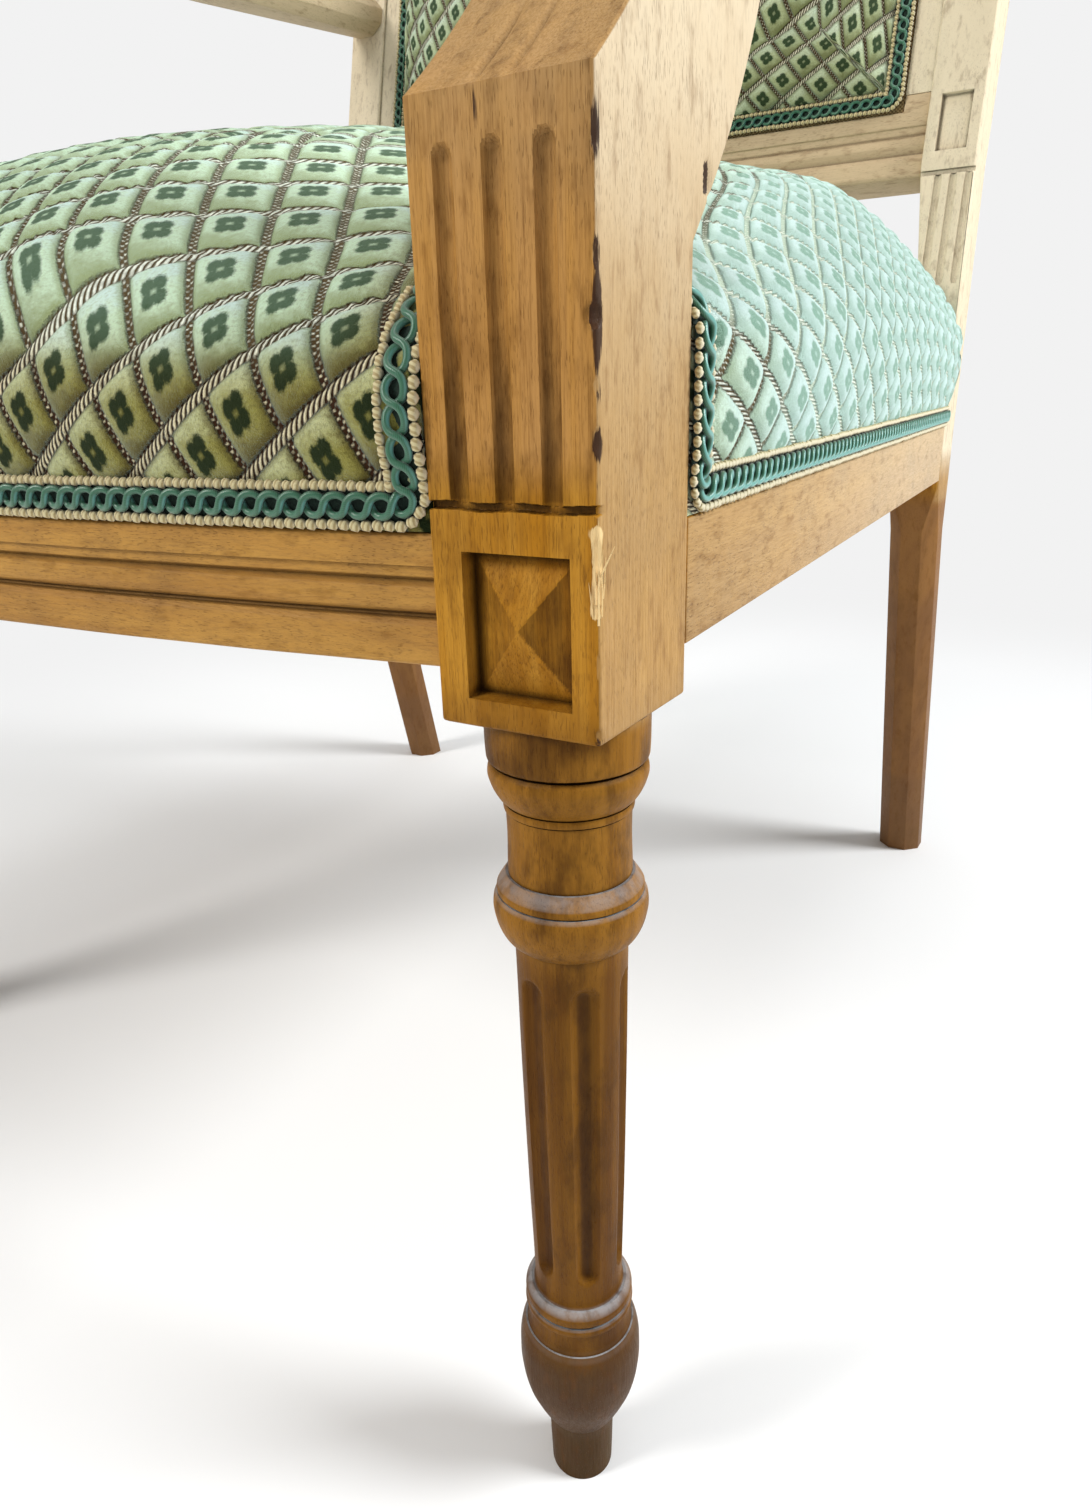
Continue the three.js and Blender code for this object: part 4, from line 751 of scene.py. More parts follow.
def velvet_material():
    """Cut pile with dark lobes between a twisted cord and a stitched line, with painted light that makes it
    paler where pale is high.
    """
    g = Graph("lozenge_velvet", roughness=0.85, Sheen_Weight=0.75, Sheen_Roughness=0.35,
              Specular_IOR_Level=0.1, Sheen_Tint=srgb(206, 234, 226))
    fabric = g.attribute("fabric", "Vector")
    along, across, _ = g.split(g.attribute("lattice", "Vector"))
    pale = g.attribute("pale")
    # pale is painted light: halfway moves the colours to the lit top's, mint to the lit side's
    halfway = g.ramp(pale, 0.05, 0.55)
    mint = g.ramp(pale, 0.56, 0.96)

    def by_light(front, top, side):
        return g.mix(mint, g.mix(halfway, front, top), side)

    fine = g.noise(fabric, 0.9, detail=3, roughness=0.75)
    tuft = g.noise(fabric, 0.28, detail=3, roughness=0.6)
    fuzz = (g.noise(fabric, 1.5, detail=3, roughness=0.75) - 0.5) * 1.5
    off_along = along - g.math("ROUND", along)
    off_across = across - g.math("ROUND", across)
    side_along = g.math("ABSOLUTE", off_along)
    side_across = g.math("ABSOLUTE", off_across)
    cord_gap = (0.5 - side_across) * CORD_GAP
    line_gap = (0.5 - side_along) * LINE_GAP
    cord_mask = g.ramp(cord_gap + fuzz, CORD_HALF + 0.2, CORD_HALF - 0.5)
    line_mask = g.ramp(line_gap + fuzz, LINE_HALF + 0.2, LINE_HALF - 0.5)
    # The ground between the threads: dark in front, painted lighter on the lit top and on the lit side
    groove = g.mix(g.ramp(pale, 0.78, 1.0), g.mix(halfway * 0.8, CORD_DARK, CORD_LIT_TOP), CORD_MINT)
    thread_pale = g.mix(halfway, CORD_PALE, CORD_LIGHT)

    # Cord: slanted pale strands twisted over a dark ground
    signed = (off_across - g.math("SIGN", off_across) * 0.5) * CORD_GAP
    strand = g.sine(along * CORD_STEP + signed * 1.15 + fuzz * 0.4, TWIST_PITCH)
    reach = g.math("ABSOLUTE", signed - 0.2) + fuzz * 0.4
    strand_mask = g.ramp(strand + fuzz * 0.4, -0.6, 0.3) * g.ramp(reach, 1.6, 0.9)
    strand_mask *= g.ramp(tuft + fuzz * 0.2, 0.3, 0.6, 0.6, 1.0)
    cord_color = g.mix(strand_mask, groove, thread_pale)

    # Line: two rows of small pale stitches, turn about
    line_signed = (off_along - g.math("SIGN", off_along) * 0.5) * LINE_GAP
    turn_about = across * LINE_STEP * (2 * math.pi / TWIST_PITCH) + g.math("SIGN", line_signed) * 1.2
    stitch = g.ramp(g.math("SINE", turn_about + fuzz * 2.2), 0.2, 0.9)
    stitch *= g.ramp(g.math("ABSOLUTE", line_gap - 0.5) + fuzz * 0.4, 0.65, 0.15)
    line_color = g.mix(stitch * g.ramp(tuft + fuzz * 0.3, 0.38, 0.62, 0.2, 0.85), groove, thread_pale)

    # Four dark lobes that meet at a paler middle
    lobe_along = g.math("ABSOLUTE", side_along - 0.088) * CORD_STEP
    lobe_across = g.math("ABSOLUTE", side_across - 0.088) * LINE_STEP * 0.8
    lobe = g.math("MAXIMUM", lobe_along, lobe_across) * 0.62 + (lobe_along + lobe_across) * 0.38
    motif = g.ramp(lobe + fuzz * 1.3, 2.9, 1.7)
    from_middle = g.math("MAXIMUM", side_along * CORD_STEP, side_across * LINE_STEP)
    middle = g.ramp(from_middle + fuzz * 0.5, 1.3, 0.4)

    # Pile: a painted highlight at a lozenge's top, painted shade at its foot and along its rim
    light_slope = off_across + off_along * -0.35 + (tuft - 0.5) * 0.5
    flat = by_light(PILE_OLIVE, PILE_TOP, PILE_MINT)
    pile = g.mix(g.ramp(light_slope, -0.05, -0.42) * 0.85, flat, by_light(PILE_HIGHLIGHT, PILE_MINT, PILE_MINT))
    shade = by_light(PILE_SHADE_FRONT, PILE_SHADE, PILE_SHADE_MINT)
    rim = g.ramp(g.math("MINIMUM", cord_gap - CORD_HALF, line_gap - LINE_HALF) + fuzz, 1.9, -0.1)
    for share in (g.ramp(light_slope, 0.08, 0.42) * 0.75, g.ramp(fine, 0.42, 0.72) * 0.5, rim * 0.7):
        pile = g.mix(share, pile, shade)
    dark = by_light(PILE_GREEN, PILE_GREEN_TOP, PILE_GREEN_MINT)
    pile = g.mix(motif * (1.0 - middle * 0.4) * (0.97 - pale * 0.2), pile, dark)

    color = g.mix(cord_mask, g.mix(line_mask, pile, line_color), cord_color)
    thread = g.math("MAXIMUM", cord_mask, line_mask)
    dull = g.math("MAXIMUM", motif * (1.0 - mint * 0.7), thread * 0.6)
    g.feed(g.shader.inputs["Sheen Weight"], (1.0 - dull * 0.9) * 0.75)
    rise = strand * cord_mask * 0.5 + stitch * line_mask * 0.6 - thread * 0.4
    nap = (fine + g.noise(fabric, 3.0, detail=2, roughness=0.7)) * (1.0 - thread)
    return g.finish(color, normal=g.bump(rise + nap * 0.7, 0.8, strength=0.9))


VELVET = velvet_material()


# Gimp: satin cord, beige beads and the dark ground behind them

def thread_material(name, pale, deep, lit, pitch, roughness, relief):
    """A twisted thread, with painted light that makes it lighter on the chair's sides, and painted shade
    where threads touch.
    """
    g = Graph(name, roughness=roughness, Sheen_Weight=0.3)
    along, round_it, _ = g.split(g.attribute("strand", "Vector"))
    twist = g.sine(along + round_it * 0.55, pitch)
    soft = g.noise(g.position(), 900, detail=2)
    color = g.mix(g.ramp(twist + (soft - 0.5), -0.7, 0.6), deep, pale)
    # Painted light: paler on faces turned out to the chair's sides
    outward = g.facing()[0] * g.math("SIGN", g.split(g.position())[0])
    color = g.mix(g.ramp(outward, 0.5, 1.0) * 0.8, color, lit)
    # Painted shade where threads and beads crowd together
    color = g.mix(g.ramp(g.corners(2.5), 0.3, 0.9, 0.55, 0.0), color, srgb(20, 26, 20))
    return g.finish(color, normal=g.bump(twist, 0.12, strength=relief))


TEAL = thread_material("satin_cord", srgb(58, 116, 86), srgb(36, 84, 60), srgb(112, 176, 168),
                       pitch=0.5, roughness=0.28, relief=0.15)
BEIGE = thread_material("cotton_beads", srgb(208, 195, 148), srgb(166, 146, 98), srgb(222, 213, 184),
                        pitch=0.9, roughness=0.7, relief=0.4)


def ground_material():
    g = Graph("gimp_ground", roughness=0.9)
    weave = g.noise(g.position(), 1600, detail=3, roughness=0.7)
    color = g.mix(g.ramp(weave, 0.3, 0.7), srgb(14, 26, 20), srgb(32, 54, 42))
    return g.finish(color, normal=g.bump(weave, 0.3))


GROUND = ground_material()


def woven_material(name, pale, deep, pitch, axes):
    """A plain weave of threads along two axes, for webbing, canvas and the dust cover."""
    g = Graph(name, roughness=0.92)
    at = g.position()
    first, second = [g.sine(g.vector("DOT_PRODUCT", at, axis), pitch * MM) for axis in axes]
    weave = first * second
    soft = g.noise(at, 240, detail=3, roughness=0.6)
    color = g.mix(g.ramp(weave + soft, -0.2, 1.2), deep, pale)
    return g.finish(color, normal=g.bump(weave, 0.3, strength=0.6))


def steel_material():
    g = Graph("spring_steel", roughness=0.4, Metallic=1.0)
    patch = g.noise(g.position(), 180, detail=4, roughness=0.7)
    color = g.mix(g.ramp(patch, 0.45, 0.75), srgb(150, 148, 142), srgb(112, 76, 48))
    return g.finish(color, g.ramp(patch, 0.4, 0.7, 0.3, 0.75), g.bump(patch, 0.1))


# Front posts: sunk panel, kerf, fluted die and swept support, all as moves of fine rings

def panel_sink(x, z):
    """How deep the block's panel lies at x, z: steep borders and a diamond point."""
    inside_x = np.minimum(x - PANEL_LEFT, PANEL_RIGHT - x)
    inside_z = np.minimum(z - PANEL_LOW, PANEL_HIGH - z)
    share = np.minimum(inside_x / PANEL_HALF_WIDTH, inside_z / PANEL_HALF_HEIGHT)
    depth = lerp(PANEL_DEPTH, PANEL_POINT_DEPTH, np.clip(share, 0, 1))
    return depth * np.clip(np.minimum(inside_x, inside_z) / 0.35 + 0.5, 0, 1)


def facet_shade(x, z):
    """Painted shade on the panel's facets: most on the right one, less on the left and lower ones."""
    middle_x = (PANEL_LEFT + PANEL_RIGHT) / 2
    middle_z = (PANEL_LOW + PANEL_HIGH) / 2
    share_x = np.abs(x - middle_x) / PANEL_HALF_WIDTH
    share_z = np.abs(z - middle_z) / PANEL_HALF_HEIGHT
    beside = (share_x > share_z) & (share_x < 1)
    below = (share_x <= share_z) & (share_z < 1) & (z < middle_z)
    return beside * np.where(x > middle_x, 0.64, 0.53) + 0.2 * below


def flute_sink(x, z, middle):
    """A round-ended groove that runs up from the kerf."""
    above = np.maximum(0, z - (FLUTE_TOP - FLUTE_RADIUS))
    away = np.hypot(x - middle, above) / FLUTE_RADIUS
    return FLUTE_DEPTH * np.sqrt(np.maximum(0, 1 - away ** 2)) * np.clip((z - KERF_MIDDLE) / 0.5, 0, 1)


def kerf_sink(x, z):
    """The saw cut between block and die, a little uneven."""
    uneven = 0.2 * np.sin(x * 0.31) + 0.05 * np.sin(x * 1.7)
    away = np.abs(z - KERF_MIDDLE - uneven) / (KERF_HEIGHT / 2)
    return KERF_DEPTH * np.clip((1 - away) * 3.0, 0, 1)


def post_face_sink(x, z):
    """How deep the carving of the front face goes: panel, flutes, kerf and two notches over the die."""
    sink = np.maximum(panel_sink(x, z), kerf_sink(x, z))
    for middle in FLUTE_MIDDLES:
        sink = np.maximum(sink, flute_sink(x, z, middle))
    run = smoothstep(DIE_TOP - 0.5, DIE_TOP + 2, z) * (1 - smoothstep(DIE_TOP + 12, DIE_TOP + 30, z))
    for notch in FACE_NOTCHES:
        side = np.clip(1 - np.abs(x - notch) / 2.0, 0, 1)
        sink = np.maximum(sink, 1.6 * side * run)
    return sink


# Where two notches start over the die's front
FACE_NOTCHES = (260.7, 269.5)
# Height, depth and length of the chips in the front arris
CHIPS = [(386.0, 2.6, 6.0), (398.0, 1.1, 8.0), (372.0, 1.2, 5.0), (361.0, 0.8, 7.0), (345.8, 1.0, 3.0),
         (336.0, 1.6, 9.0), (327.0, 1.2, 8.0), (310.0, 0.8, 12.0), (420.0, 0.7, 10.0), (293.0, 1.3, 4.0)]
# A nick in the rear arris of the right face, and how round the arrises are
NOTCH_DEEP = 58.0
NOTCH_HEIGHT = 418.3
RUB = 1.1


def arris_wear(z, seed):
    """How far the worn front arris is rubbed back at a height."""
    flat = z.ravel()[:, None]
    wear = 0.35 + 0.35 * value_noise(flat, 9, seed) + 0.25 * value_noise(flat, 2.5, seed + 1)
    wear = np.maximum(wear, 0.05)
    for height, depth, length in CHIPS:
        wear += depth * np.exp(-((flat[:, 0] - height) / (length * 0.4)) ** 4)
    return wear.reshape(z.shape)


def post_rows(fine):
    """Heights of the post's rings, close together at the panel, the kerf, the flutes' ends and the notch."""
    def gap(z):
        near_detail = (z < KERF_MIDDLE + 8) | (np.abs(z - FLUTE_TOP) < 6) | (np.abs(z - DIE_TOP) < 4)
        plain = np.where(near_detail, 0.45, np.where(z < DIE_TOP, 0.8, 2.2))
        plain = np.where(np.abs(z - NOTCH_HEIGHT) < 6, 0.7, plain)
        return np.where(np.abs(z - KERF_MIDDLE) < 2.0, 0.2, plain) * fine

    rows = graded(BLOCK_BOTTOM, SUPPORT_TOP, gap)
    for level in (DIE_TOP, PANEL_LOW, PANEL_HIGH):
        rows[np.argmin(np.abs(rows - level))] = level
    return rows


def post_outline(z, fine):
    """Plain rings at heights z with rounded corners: x and y, the right side's x, the front's y, and
    which columns lie on the front face."""
    half = post_span(z) / 2
    ends = np.minimum(1, np.minimum(z - BLOCK_BOTTOM, SUPPORT_TOP - z) / 1.2)
    tuck = 1.0 - np.sqrt(np.maximum(0, 1 - (1 - ends) ** 2))
    x0, x1 = POST_MIDDLE - half + tuck, POST_MIDDLE + half - tuck
    y0, y1 = post_front(z) + tuck, post_rear(z) - tuck
    across = graded(0, 1, lambda s: np.full_like(s, 0.0095 * fine))
    deep = graded(0, 1, lambda s: (0.012 + 0.06 * s * (1 - s)) * fine)
    back = np.linspace(0, 1, 10)
    turn = np.linspace(0, math.pi / 2, 6)[1:-1]
    parts_x = []
    parts_y = []

    def line(ax, ay, bx, by, shares):
        parts_x.append(ax + (bx - ax) * shares)
        parts_y.append(ay + (by - ay) * shares)

    def corner(cx, cy, start):
        parts_x.append(cx + RUB * np.cos(start + turn))
        parts_y.append(cy + RUB * np.sin(start + turn))

    line(x0 + RUB, y0, x1 - RUB, y0, across)
    corner(x1 - RUB, y0 + RUB, -math.pi / 2)
    line(x1, y0 + RUB, x1, y1 - RUB, deep)
    corner(x1 - RUB, y1 - RUB, 0)
    line(x1 - RUB, y1, x0 + RUB, y1, back)
    corner(x0 + RUB, y1 - RUB, math.pi / 2)
    line(x0, y1 - RUB, x0, y0 + RUB, 1 - deep[::-1])
    corner(x0 + RUB, y0 + RUB, math.pi)
    x = np.concatenate(parts_x, 1)
    on_face = np.zeros(x.shape[1])
    on_face[:len(across)] = 1
    return x, np.concatenate(parts_y, 1), x1, y0, on_face


def post_stain(x, z, on_face, away, reach, blot, low_noise):
    """Dark marks of water and use along the right front arris, over the die and under the block."""
    heavy = np.maximum(np.exp(-((z - 385) / 13) ** 2), 0.75 * np.exp(-((z - 360) / 5) ** 2))
    heavy = np.maximum(heavy, 0.42 + 0.35 * low_noise)
    stain = np.exp(-(away / reach) ** 2) * heavy * smoothstep(346, 352, z) * (1 - smoothstep(430, 450, z))
    under = (0.5 + 0.3 * blot) * np.exp(-(away / 3.0) ** 2) * np.exp(-((z - 291) / 2.5) ** 2)
    streak = np.exp(-((x - 262.0) / 0.9) ** 2) * smoothstep(418, 424, z) * (1 - smoothstep(428, 440, z))
    return np.maximum.reduce([stain, under, streak * on_face * 0.5])


def post_face_darkening(x, z, on_face, away):
    """Painted shade in the front face's flutes, kerf and facets and along its right arris, and a darker band
    just over the kerf.
    """
    in_flute = np.minimum.reduce([np.abs(x - middle) for middle in FLUTE_MIDDLES]) < FLUTE_RADIUS
    flutes = in_flute * smoothstep(KERF_MIDDLE, KERF_MIDDLE + 2, z)
    flutes = flutes * (1 - 0.5 * smoothstep(352, 400, z)) * 0.7
    kerf = 0.5 * (kerf_sink(x, z) > 0.3)
    arris = 0.42 * np.exp(-(away / 8) ** 2) * smoothstep(KERF_MIDDLE, 350, z)
    over_kerf = 0.45 * (z > KERF_MIDDLE) * (1 - smoothstep(350, 372, z))
    return on_face * np.maximum.reduce([flutes, kerf, arris, facet_shade(x, z), over_kerf])


def post_rings(fine):
    """Rings of the right post's square part from the block's underside to the arm, and its wear."""
    rows = post_rows(fine)
    x, y, x1, y0, on_face = post_outline(rows[:, None], fine)
    z = np.broadcast_to(rows[:, None], x.shape).copy()
    gap_front = y - y0
    gap_side = x1 - x
    away = gap_front + gap_side
    turned_in = (1 - on_face) * np.clip(1 - gap_front / 2.8, 0, 1) * kerf_sink(x, z)
    round_share = np.clip(gap_front / RUB, 0, 1)
    y += on_face * post_face_sink(x, z) + turned_in * (1 - round_share)
    x -= np.sign(x - POST_MIDDLE) * turned_in * round_share
    notch = (gap_side < 1.2) * np.exp(-((y - NOTCH_DEEP) / 1.9) ** 4)
    notch = notch * np.exp(-((z - NOTCH_HEIGHT) / 3.8) ** 4)
    x -= 1.4 * notch
    chamfer = np.maximum(0, arris_wear(z, 3) - away) * (z < DIE_TOP + 25)
    x -= chamfer / 2
    y += chamfer / 2
    flat = np.stack([x.ravel(), y.ravel(), z.ravel()], 1)
    wave = value_noise(flat, 17, 5) * 0.12 + value_noise(flat, 5, 6) * 0.05
    y += on_face * wave.reshape(x.shape)
    blot = value_noise(flat, 7, 9).reshape(x.shape)
    reach = np.where(gap_side > gap_front, 1.3, 2.6) * (1 + 0.5 * blot)
    low_noise = value_noise(flat[:, 2:], 7, 12).reshape(z.shape)
    # The nick is painted dark with the stain colour: painted shade inside it
    stain = np.maximum(post_stain(x, z, on_face, away, reach, blot, low_noise), notch)
    fresh = np.exp(-(away / (2.3 + blot)) ** 2) * smoothstep(318, 324, z) * (1 - smoothstep(340, 345, z))
    marks = {"stain": stain, "fresh": fresh, "shade_and_grime": post_face_darkening(x, z, on_face, away),
             "front": np.broadcast_to(on_face, x.shape)}
    return np.stack([x, y, z], -1), {key: np.clip(value, 0, 1).ravel() for key, value in marks.items()}


# Foot, tip and radius of each splinter on the front arris
SPLINTERS = [
    ((289.7, 0.4, 320.0), (290.1, -0.3, 333.0), 0.34),
    ((289.2, 0.1, 325.0), (288.9, -0.5, 341.0), 0.30),
    ((290.0, 1.2, 322.0), (290.6, 1.0, 337.5), 0.30),
    ((289.8, 0.4, 329.0), (290.2, -0.2, 344.0), 0.26),
    ((289.9, 0.6, 331.0), (294.3, -0.4, 338.6), 0.27),
    ((290.0, 2.0, 326.0), (290.6, 2.4, 335.5), 0.25),
    ((288.4, 0.2, 321.5), (287.6, -0.4, 330.0), 0.25),
]


def splinter(foot, tip, radius):
    """A torn fibre of the arris: a thin bent spike, rooted in the wood."""
    foot = np.array(foot)
    tip = np.array(tip)
    share = np.linspace(0, 1, 9)[:, None]
    bend = np.array([0.3, -0.5, 0.0]) * np.sin(share * math.pi) * radius * 2
    path = lerp(foot, tip, share) + bend
    ahead = unit(tip - foot)
    side = unit(np.cross(ahead, [0.0, 1.0, 0.0]))
    over = np.cross(side, ahead)
    angle = np.linspace(0, 2 * math.pi, 6, endpoint=False)[None, :, None]
    thick = radius * (1 - 0.85 * share[:, None] ** 1.5)
    return lofted(path[:, None] + thick * (np.cos(angle) * side + np.sin(angle) * over))


# The turning from foot to block: parts of (height, radius), each part a smooth curve, crisp where parts meet
LEG_PARTS = [
    [(0.0, 10.8), (9.0, 11.1), (20.0, 11.4), (25.5, 11.9)],
    [(25.5, 12.3), (30.0, 14.6), (35.4, 16.9), (41.0, 18.9), (47.6, 20.2), (55.0, 20.8), (61.0, 20.7),
     (66.5, 19.9), (69.6, 18.7)],
    [(69.6, 18.1), (72.5, 17.2), (76.0, 17.0), (77.6, 17.2)],
    [(77.6, 17.5), (78.6, 18.2), (79.8, 18.3), (81.0, 17.7)],
    [(81.0, 17.1), (81.5, 17.1)],
    [(81.5, 17.4), (82.6, 18.1), (84.2, 18.1), (86.0, 17.2), (87.0, 16.2)],
    [(87.0, 15.3), (88.2, 14.7), (92.5, 14.75), (130.0, 15.6), (178.9, 16.4), (216.6, 16.8), (219.6, 16.9)],
    [(219.6, 17.3), (221.4, 19.3), (224.0, 20.9), (227.5, 22.1), (231.5, 22.7), (234.2, 22.4), (235.6, 21.6)],
    [(235.6, 20.9), (236.1, 20.9)],
    [(236.1, 21.5), (237.2, 21.5), (239.0, 20.6), (240.6, 19.5), (241.6, 18.8)],
    [(241.6, 18.0), (242.2, 18.0), (253.8, 17.75), (261.0, 17.9)],
    [(261.0, 17.4), (261.5, 17.4)],
    [(261.5, 18.4), (262.6, 18.6), (263.6, 18.3)],
    [(263.6, 17.8), (264.1, 17.8)],
    [(264.1, 18.4), (265.2, 19.5), (267.4, 20.9), (270.0, 22.0), (272.6, 22.6), (274.4, 22.4), (275.6, 21.5)],
    [(275.6, 20.6), (276.6, 20.6)],
    [(276.6, 22.2), (277.4, 22.7), (283.3, 22.95), (290.0, 23.0)],
]
SHAFT_LOW = 97.0
SHAFT_HIGH = 210.5


def leg_profile(fine):
    """Heights and radii of the turning's rings: close together, but for the middle of the shaft."""
    heights = []
    radii = []
    for part in LEG_PARTS:
        z, r = np.array(part).T
        if z[-1] - z[0] > SHAFT_HIGH - SHAFT_LOW:
            at = graded(z[0], z[-1], lambda v: np.where((v < 108) | (v > 198), 0.8, 2.4) * fine)
        else:
            at = np.linspace(z[0], z[-1], max(1, int(round((z[-1] - z[0]) / (0.5 * fine)))) + 1)
        heights.append(at)
        radii.append(pchip(z, r, at) if len(z) > 2 else np.interp(at, z, r))
    return np.concatenate(heights)[:, None], np.concatenate(radii)[:, None]


def leg_rings(fine):
    """Rings of the turned and fluted leg, and how dark each point is painted: painted shade in the flutes and
    the cove over the bulb, darker blotches at the top.
    """
    z, radius = leg_profile(fine)
    count = int(round(176 / fine / 8)) * 8
    angle = np.linspace(0, 2 * math.pi, count, endpoint=False)[None, :]
    spread = (angle - LEG_FLUTE_PHASE) % (2 * math.pi / LEG_FLUTES)
    spread = np.minimum(spread, 2 * math.pi / LEG_FLUTES - spread)
    half = lerp(3.7, 4.5, (z - SHAFT_LOW) / (SHAFT_HIGH - SHAFT_LOW))
    beyond = np.maximum(0, np.maximum(SHAFT_LOW + half - z, z - (SHAFT_HIGH - half)))
    away = np.hypot(spread * radius, beyond) / half
    sink = LEG_FLUTE_DEPTH * np.maximum(0, 1 - away ** 2.6)
    out = radius - sink
    x = POST_MIDDLE + out * np.cos(angle)
    y = POST_DEPTH / 2 + out * np.sin(angle)
    z = np.broadcast_to(z, x.shape)
    ring = np.stack([x, y, z], -1)
    noise = value_noise(ring.reshape(-1, 3), 9, 31).reshape(z.shape)
    # Painted shade in the flutes and in the cove over the bulb; darker blotches at the top
    flutes = 0.7 * smoothstep(0.5, 1.0, sink / LEG_FLUTE_DEPTH)
    top = (0.45 + 0.5 * noise) * (z > 276)
    bulb = (0.35 + 0.4 * noise) * (z > 70) * (z < 78)
    return ring, np.clip(np.maximum.reduce([flutes, top, bulb]), 0, 1)


def make_posts():
    """Each front post with its leg and splinters; the left one mirrors the right one."""
    for side, fine in (("right", 1.0), ("left", 1.7)):
        post, marks = post_rings(fine)
        leg, leg_darkening = leg_rings(fine)
        parts = [lofted(post), lofted(leg)] + [splinter(*given) for given in SPLINTERS]
        points, faces = merged([(points, facing_out(points, faces)) for points, faces in parts])
        square = len(marks["shade_and_grime"])
        turned_end = square + leg_darkening.size
        rest = np.zeros(len(points) - square)
        values = {key: np.concatenate([mark, rest]) for key, mark in marks.items()}
        values["shade_and_grime"][square:turned_end] = leg_darkening.ravel()
        values["fresh"][turned_end:] = 1
        if side == "left":
            points, faces = mirrored(points, faces)
        mesh = build_mesh("front_post_" + side, points, faces, sharp=40, values=values)
        add_piece("post_" + side, mesh, WOOD_WORN, ["front_post_" + side])


make_posts()


# Rails. The front rail's moulding goes up its face: share of the height, share of the rabbet's depth

RAIL_MOULDING = [
    (0, 0.3), (0.02, 0.12), (0.05, 0.05), (0.28, 0.05), (0.31, 0.12), (0.35, 0.4), (0.365, 0.8),
    (0.385, 0.85), (0.40, 0.6), (0.43, 0.35), (0.49, 0.15), (0.55, 0.12), (0.60, 0.2), (0.63, 0.55),
    (0.645, 0.7), (0.66, 0.6), (0.68, 0.4), (0.76, 0.3), (0.765, 0.0), (0.98, 0.0), (1.0, 0.15)]


def make_front_rail():
    """The bowed rail, its face cut by a moulding, with a rabbet for the seat cover above."""
    heights, depths = np.array(RAIL_MOULDING).T
    shares = np.unique(np.concatenate([np.linspace(0, 1, 70), heights]))
    face = np.stack([np.interp(shares, heights, depths) * RABBET, RAIL_BOTTOM + shares * RAIL_HEIGHT], 1)
    body = [(RABBET, LEDGE), (RABBET, RAIL_TOP), (RAIL_THICKNESS, RAIL_TOP),
            (RAIL_THICKNESS, RAIL_BOTTOM + 1), (RAIL_THICKNESS - 1, RAIL_BOTTOM)]
    outline = np.concatenate([face, body])
    x = np.linspace(-POST_INNER + 0.3, POST_INNER - 0.3, 161)[:, None]
    y = 2 + bow(x) + outline[None, :, 0]
    z = np.broadcast_to(outline[None, :, 1], y.shape)
    points, faces = lofted(np.stack([np.broadcast_to(x, y.shape), y, z], -1))
    uneven = np.stack([value_noise(points, 26, 21) * 0.15, value_noise(points, 30, 22) * 0.1], 1)
    points[:, 1:] += uneven
    mesh = build_mesh("front_rail_fine", points, facing_out(points, faces), sharp=50)
    add_piece("rail_front", mesh, WOOD["x"], ["front_rail"])


make_front_rail()

for node_name, axis in (
        ("side_rail_right", "y"), ("side_rail_left", "y"), ("back_seat_rail", "x"), ("lower_back_rail", "x"),
        ("crest_rail", "x"), ("rear_stile_right", "z"), ("rear_stile_left", "z"), ("arm_right", "y"),
        ("arm_left", "y")):
    add_piece(node_name + "_shaped", refined(node_name), WOOD[axis], [node_name])


# Seat: a crowned cushion over the rails, cut round the posts and the stiles

SHOULDER = 100.0
CROWN = 56.0
CROWN_SETBACK = 370.0
CROWN_REACH = 372.0
POST_PULL = 15.0
STILE_FULLNESS = 14.0
SIDE_RADIUS = 63.0
FRONT_RADIUS = 154.0
REAR_RADIUS = 60.0
SEAT_REAR = 556.9
BULGE = 6.7
SWELL_START = GIMP_HEIGHT / SHOULDER


def seat_swell(e):
    return np.clip((e - SWELL_START) / (1 - SWELL_START), 0, 1)


def seat_inset(radius, e):
    return radius * (1 - (1 - e ** 3) ** (1 / 3)) + 0.3 - BULGE * np.sin(np.pi * seat_swell(e))


def seat_dome(x, y):
    """How far the top rises over the shoulder: pulled down behind the posts, full near the stiles."""
    across = np.clip(np.abs(x) / side_half(y), 0, 1)
    crown = CROWN * (1 - across ** 1.7) * (1 - (np.abs(y - CROWN_SETBACK) / CROWN_REACH) ** 2)
    pull = POST_PULL * (1 - smoothstep(60, 230, np.hypot(np.abs(x) - 245, y - 50)))
    full = STILE_FULLNESS * smoothstep(250, 450, y) * (1 - 0.6 * smoothstep(510, 560, y))
    return crown - pull + full * smoothstep(120, 220, np.abs(x))


def rounded(u, v, share):
    """A place in the unit square, drawn by a share towards the round."""
    return u * np.sqrt(1 - share * v * v / 2), v * np.sqrt(1 - share * u * u / 2)


def seat_profile(e):
    """At e up the seat's edge: how round its outline is, and where its front and rear lie."""
    front = 2 + seat_inset(FRONT_RADIUS, e)
    rear = SEAT_REAR - seat_inset(REAR_RADIUS, e)
    return 0.9 * seat_swell(e) ** 4, front, rear


def beside_post(x, y):
    """The seat's side stays in line with the post beside it and swells out behind it."""
    reach = lerp(POST_OUTER + 0.2, np.abs(x), smoothstep(POST_DEPTH + 2, POST_DEPTH + 46, y))
    return np.sign(x) * np.minimum(np.abs(x), reach)


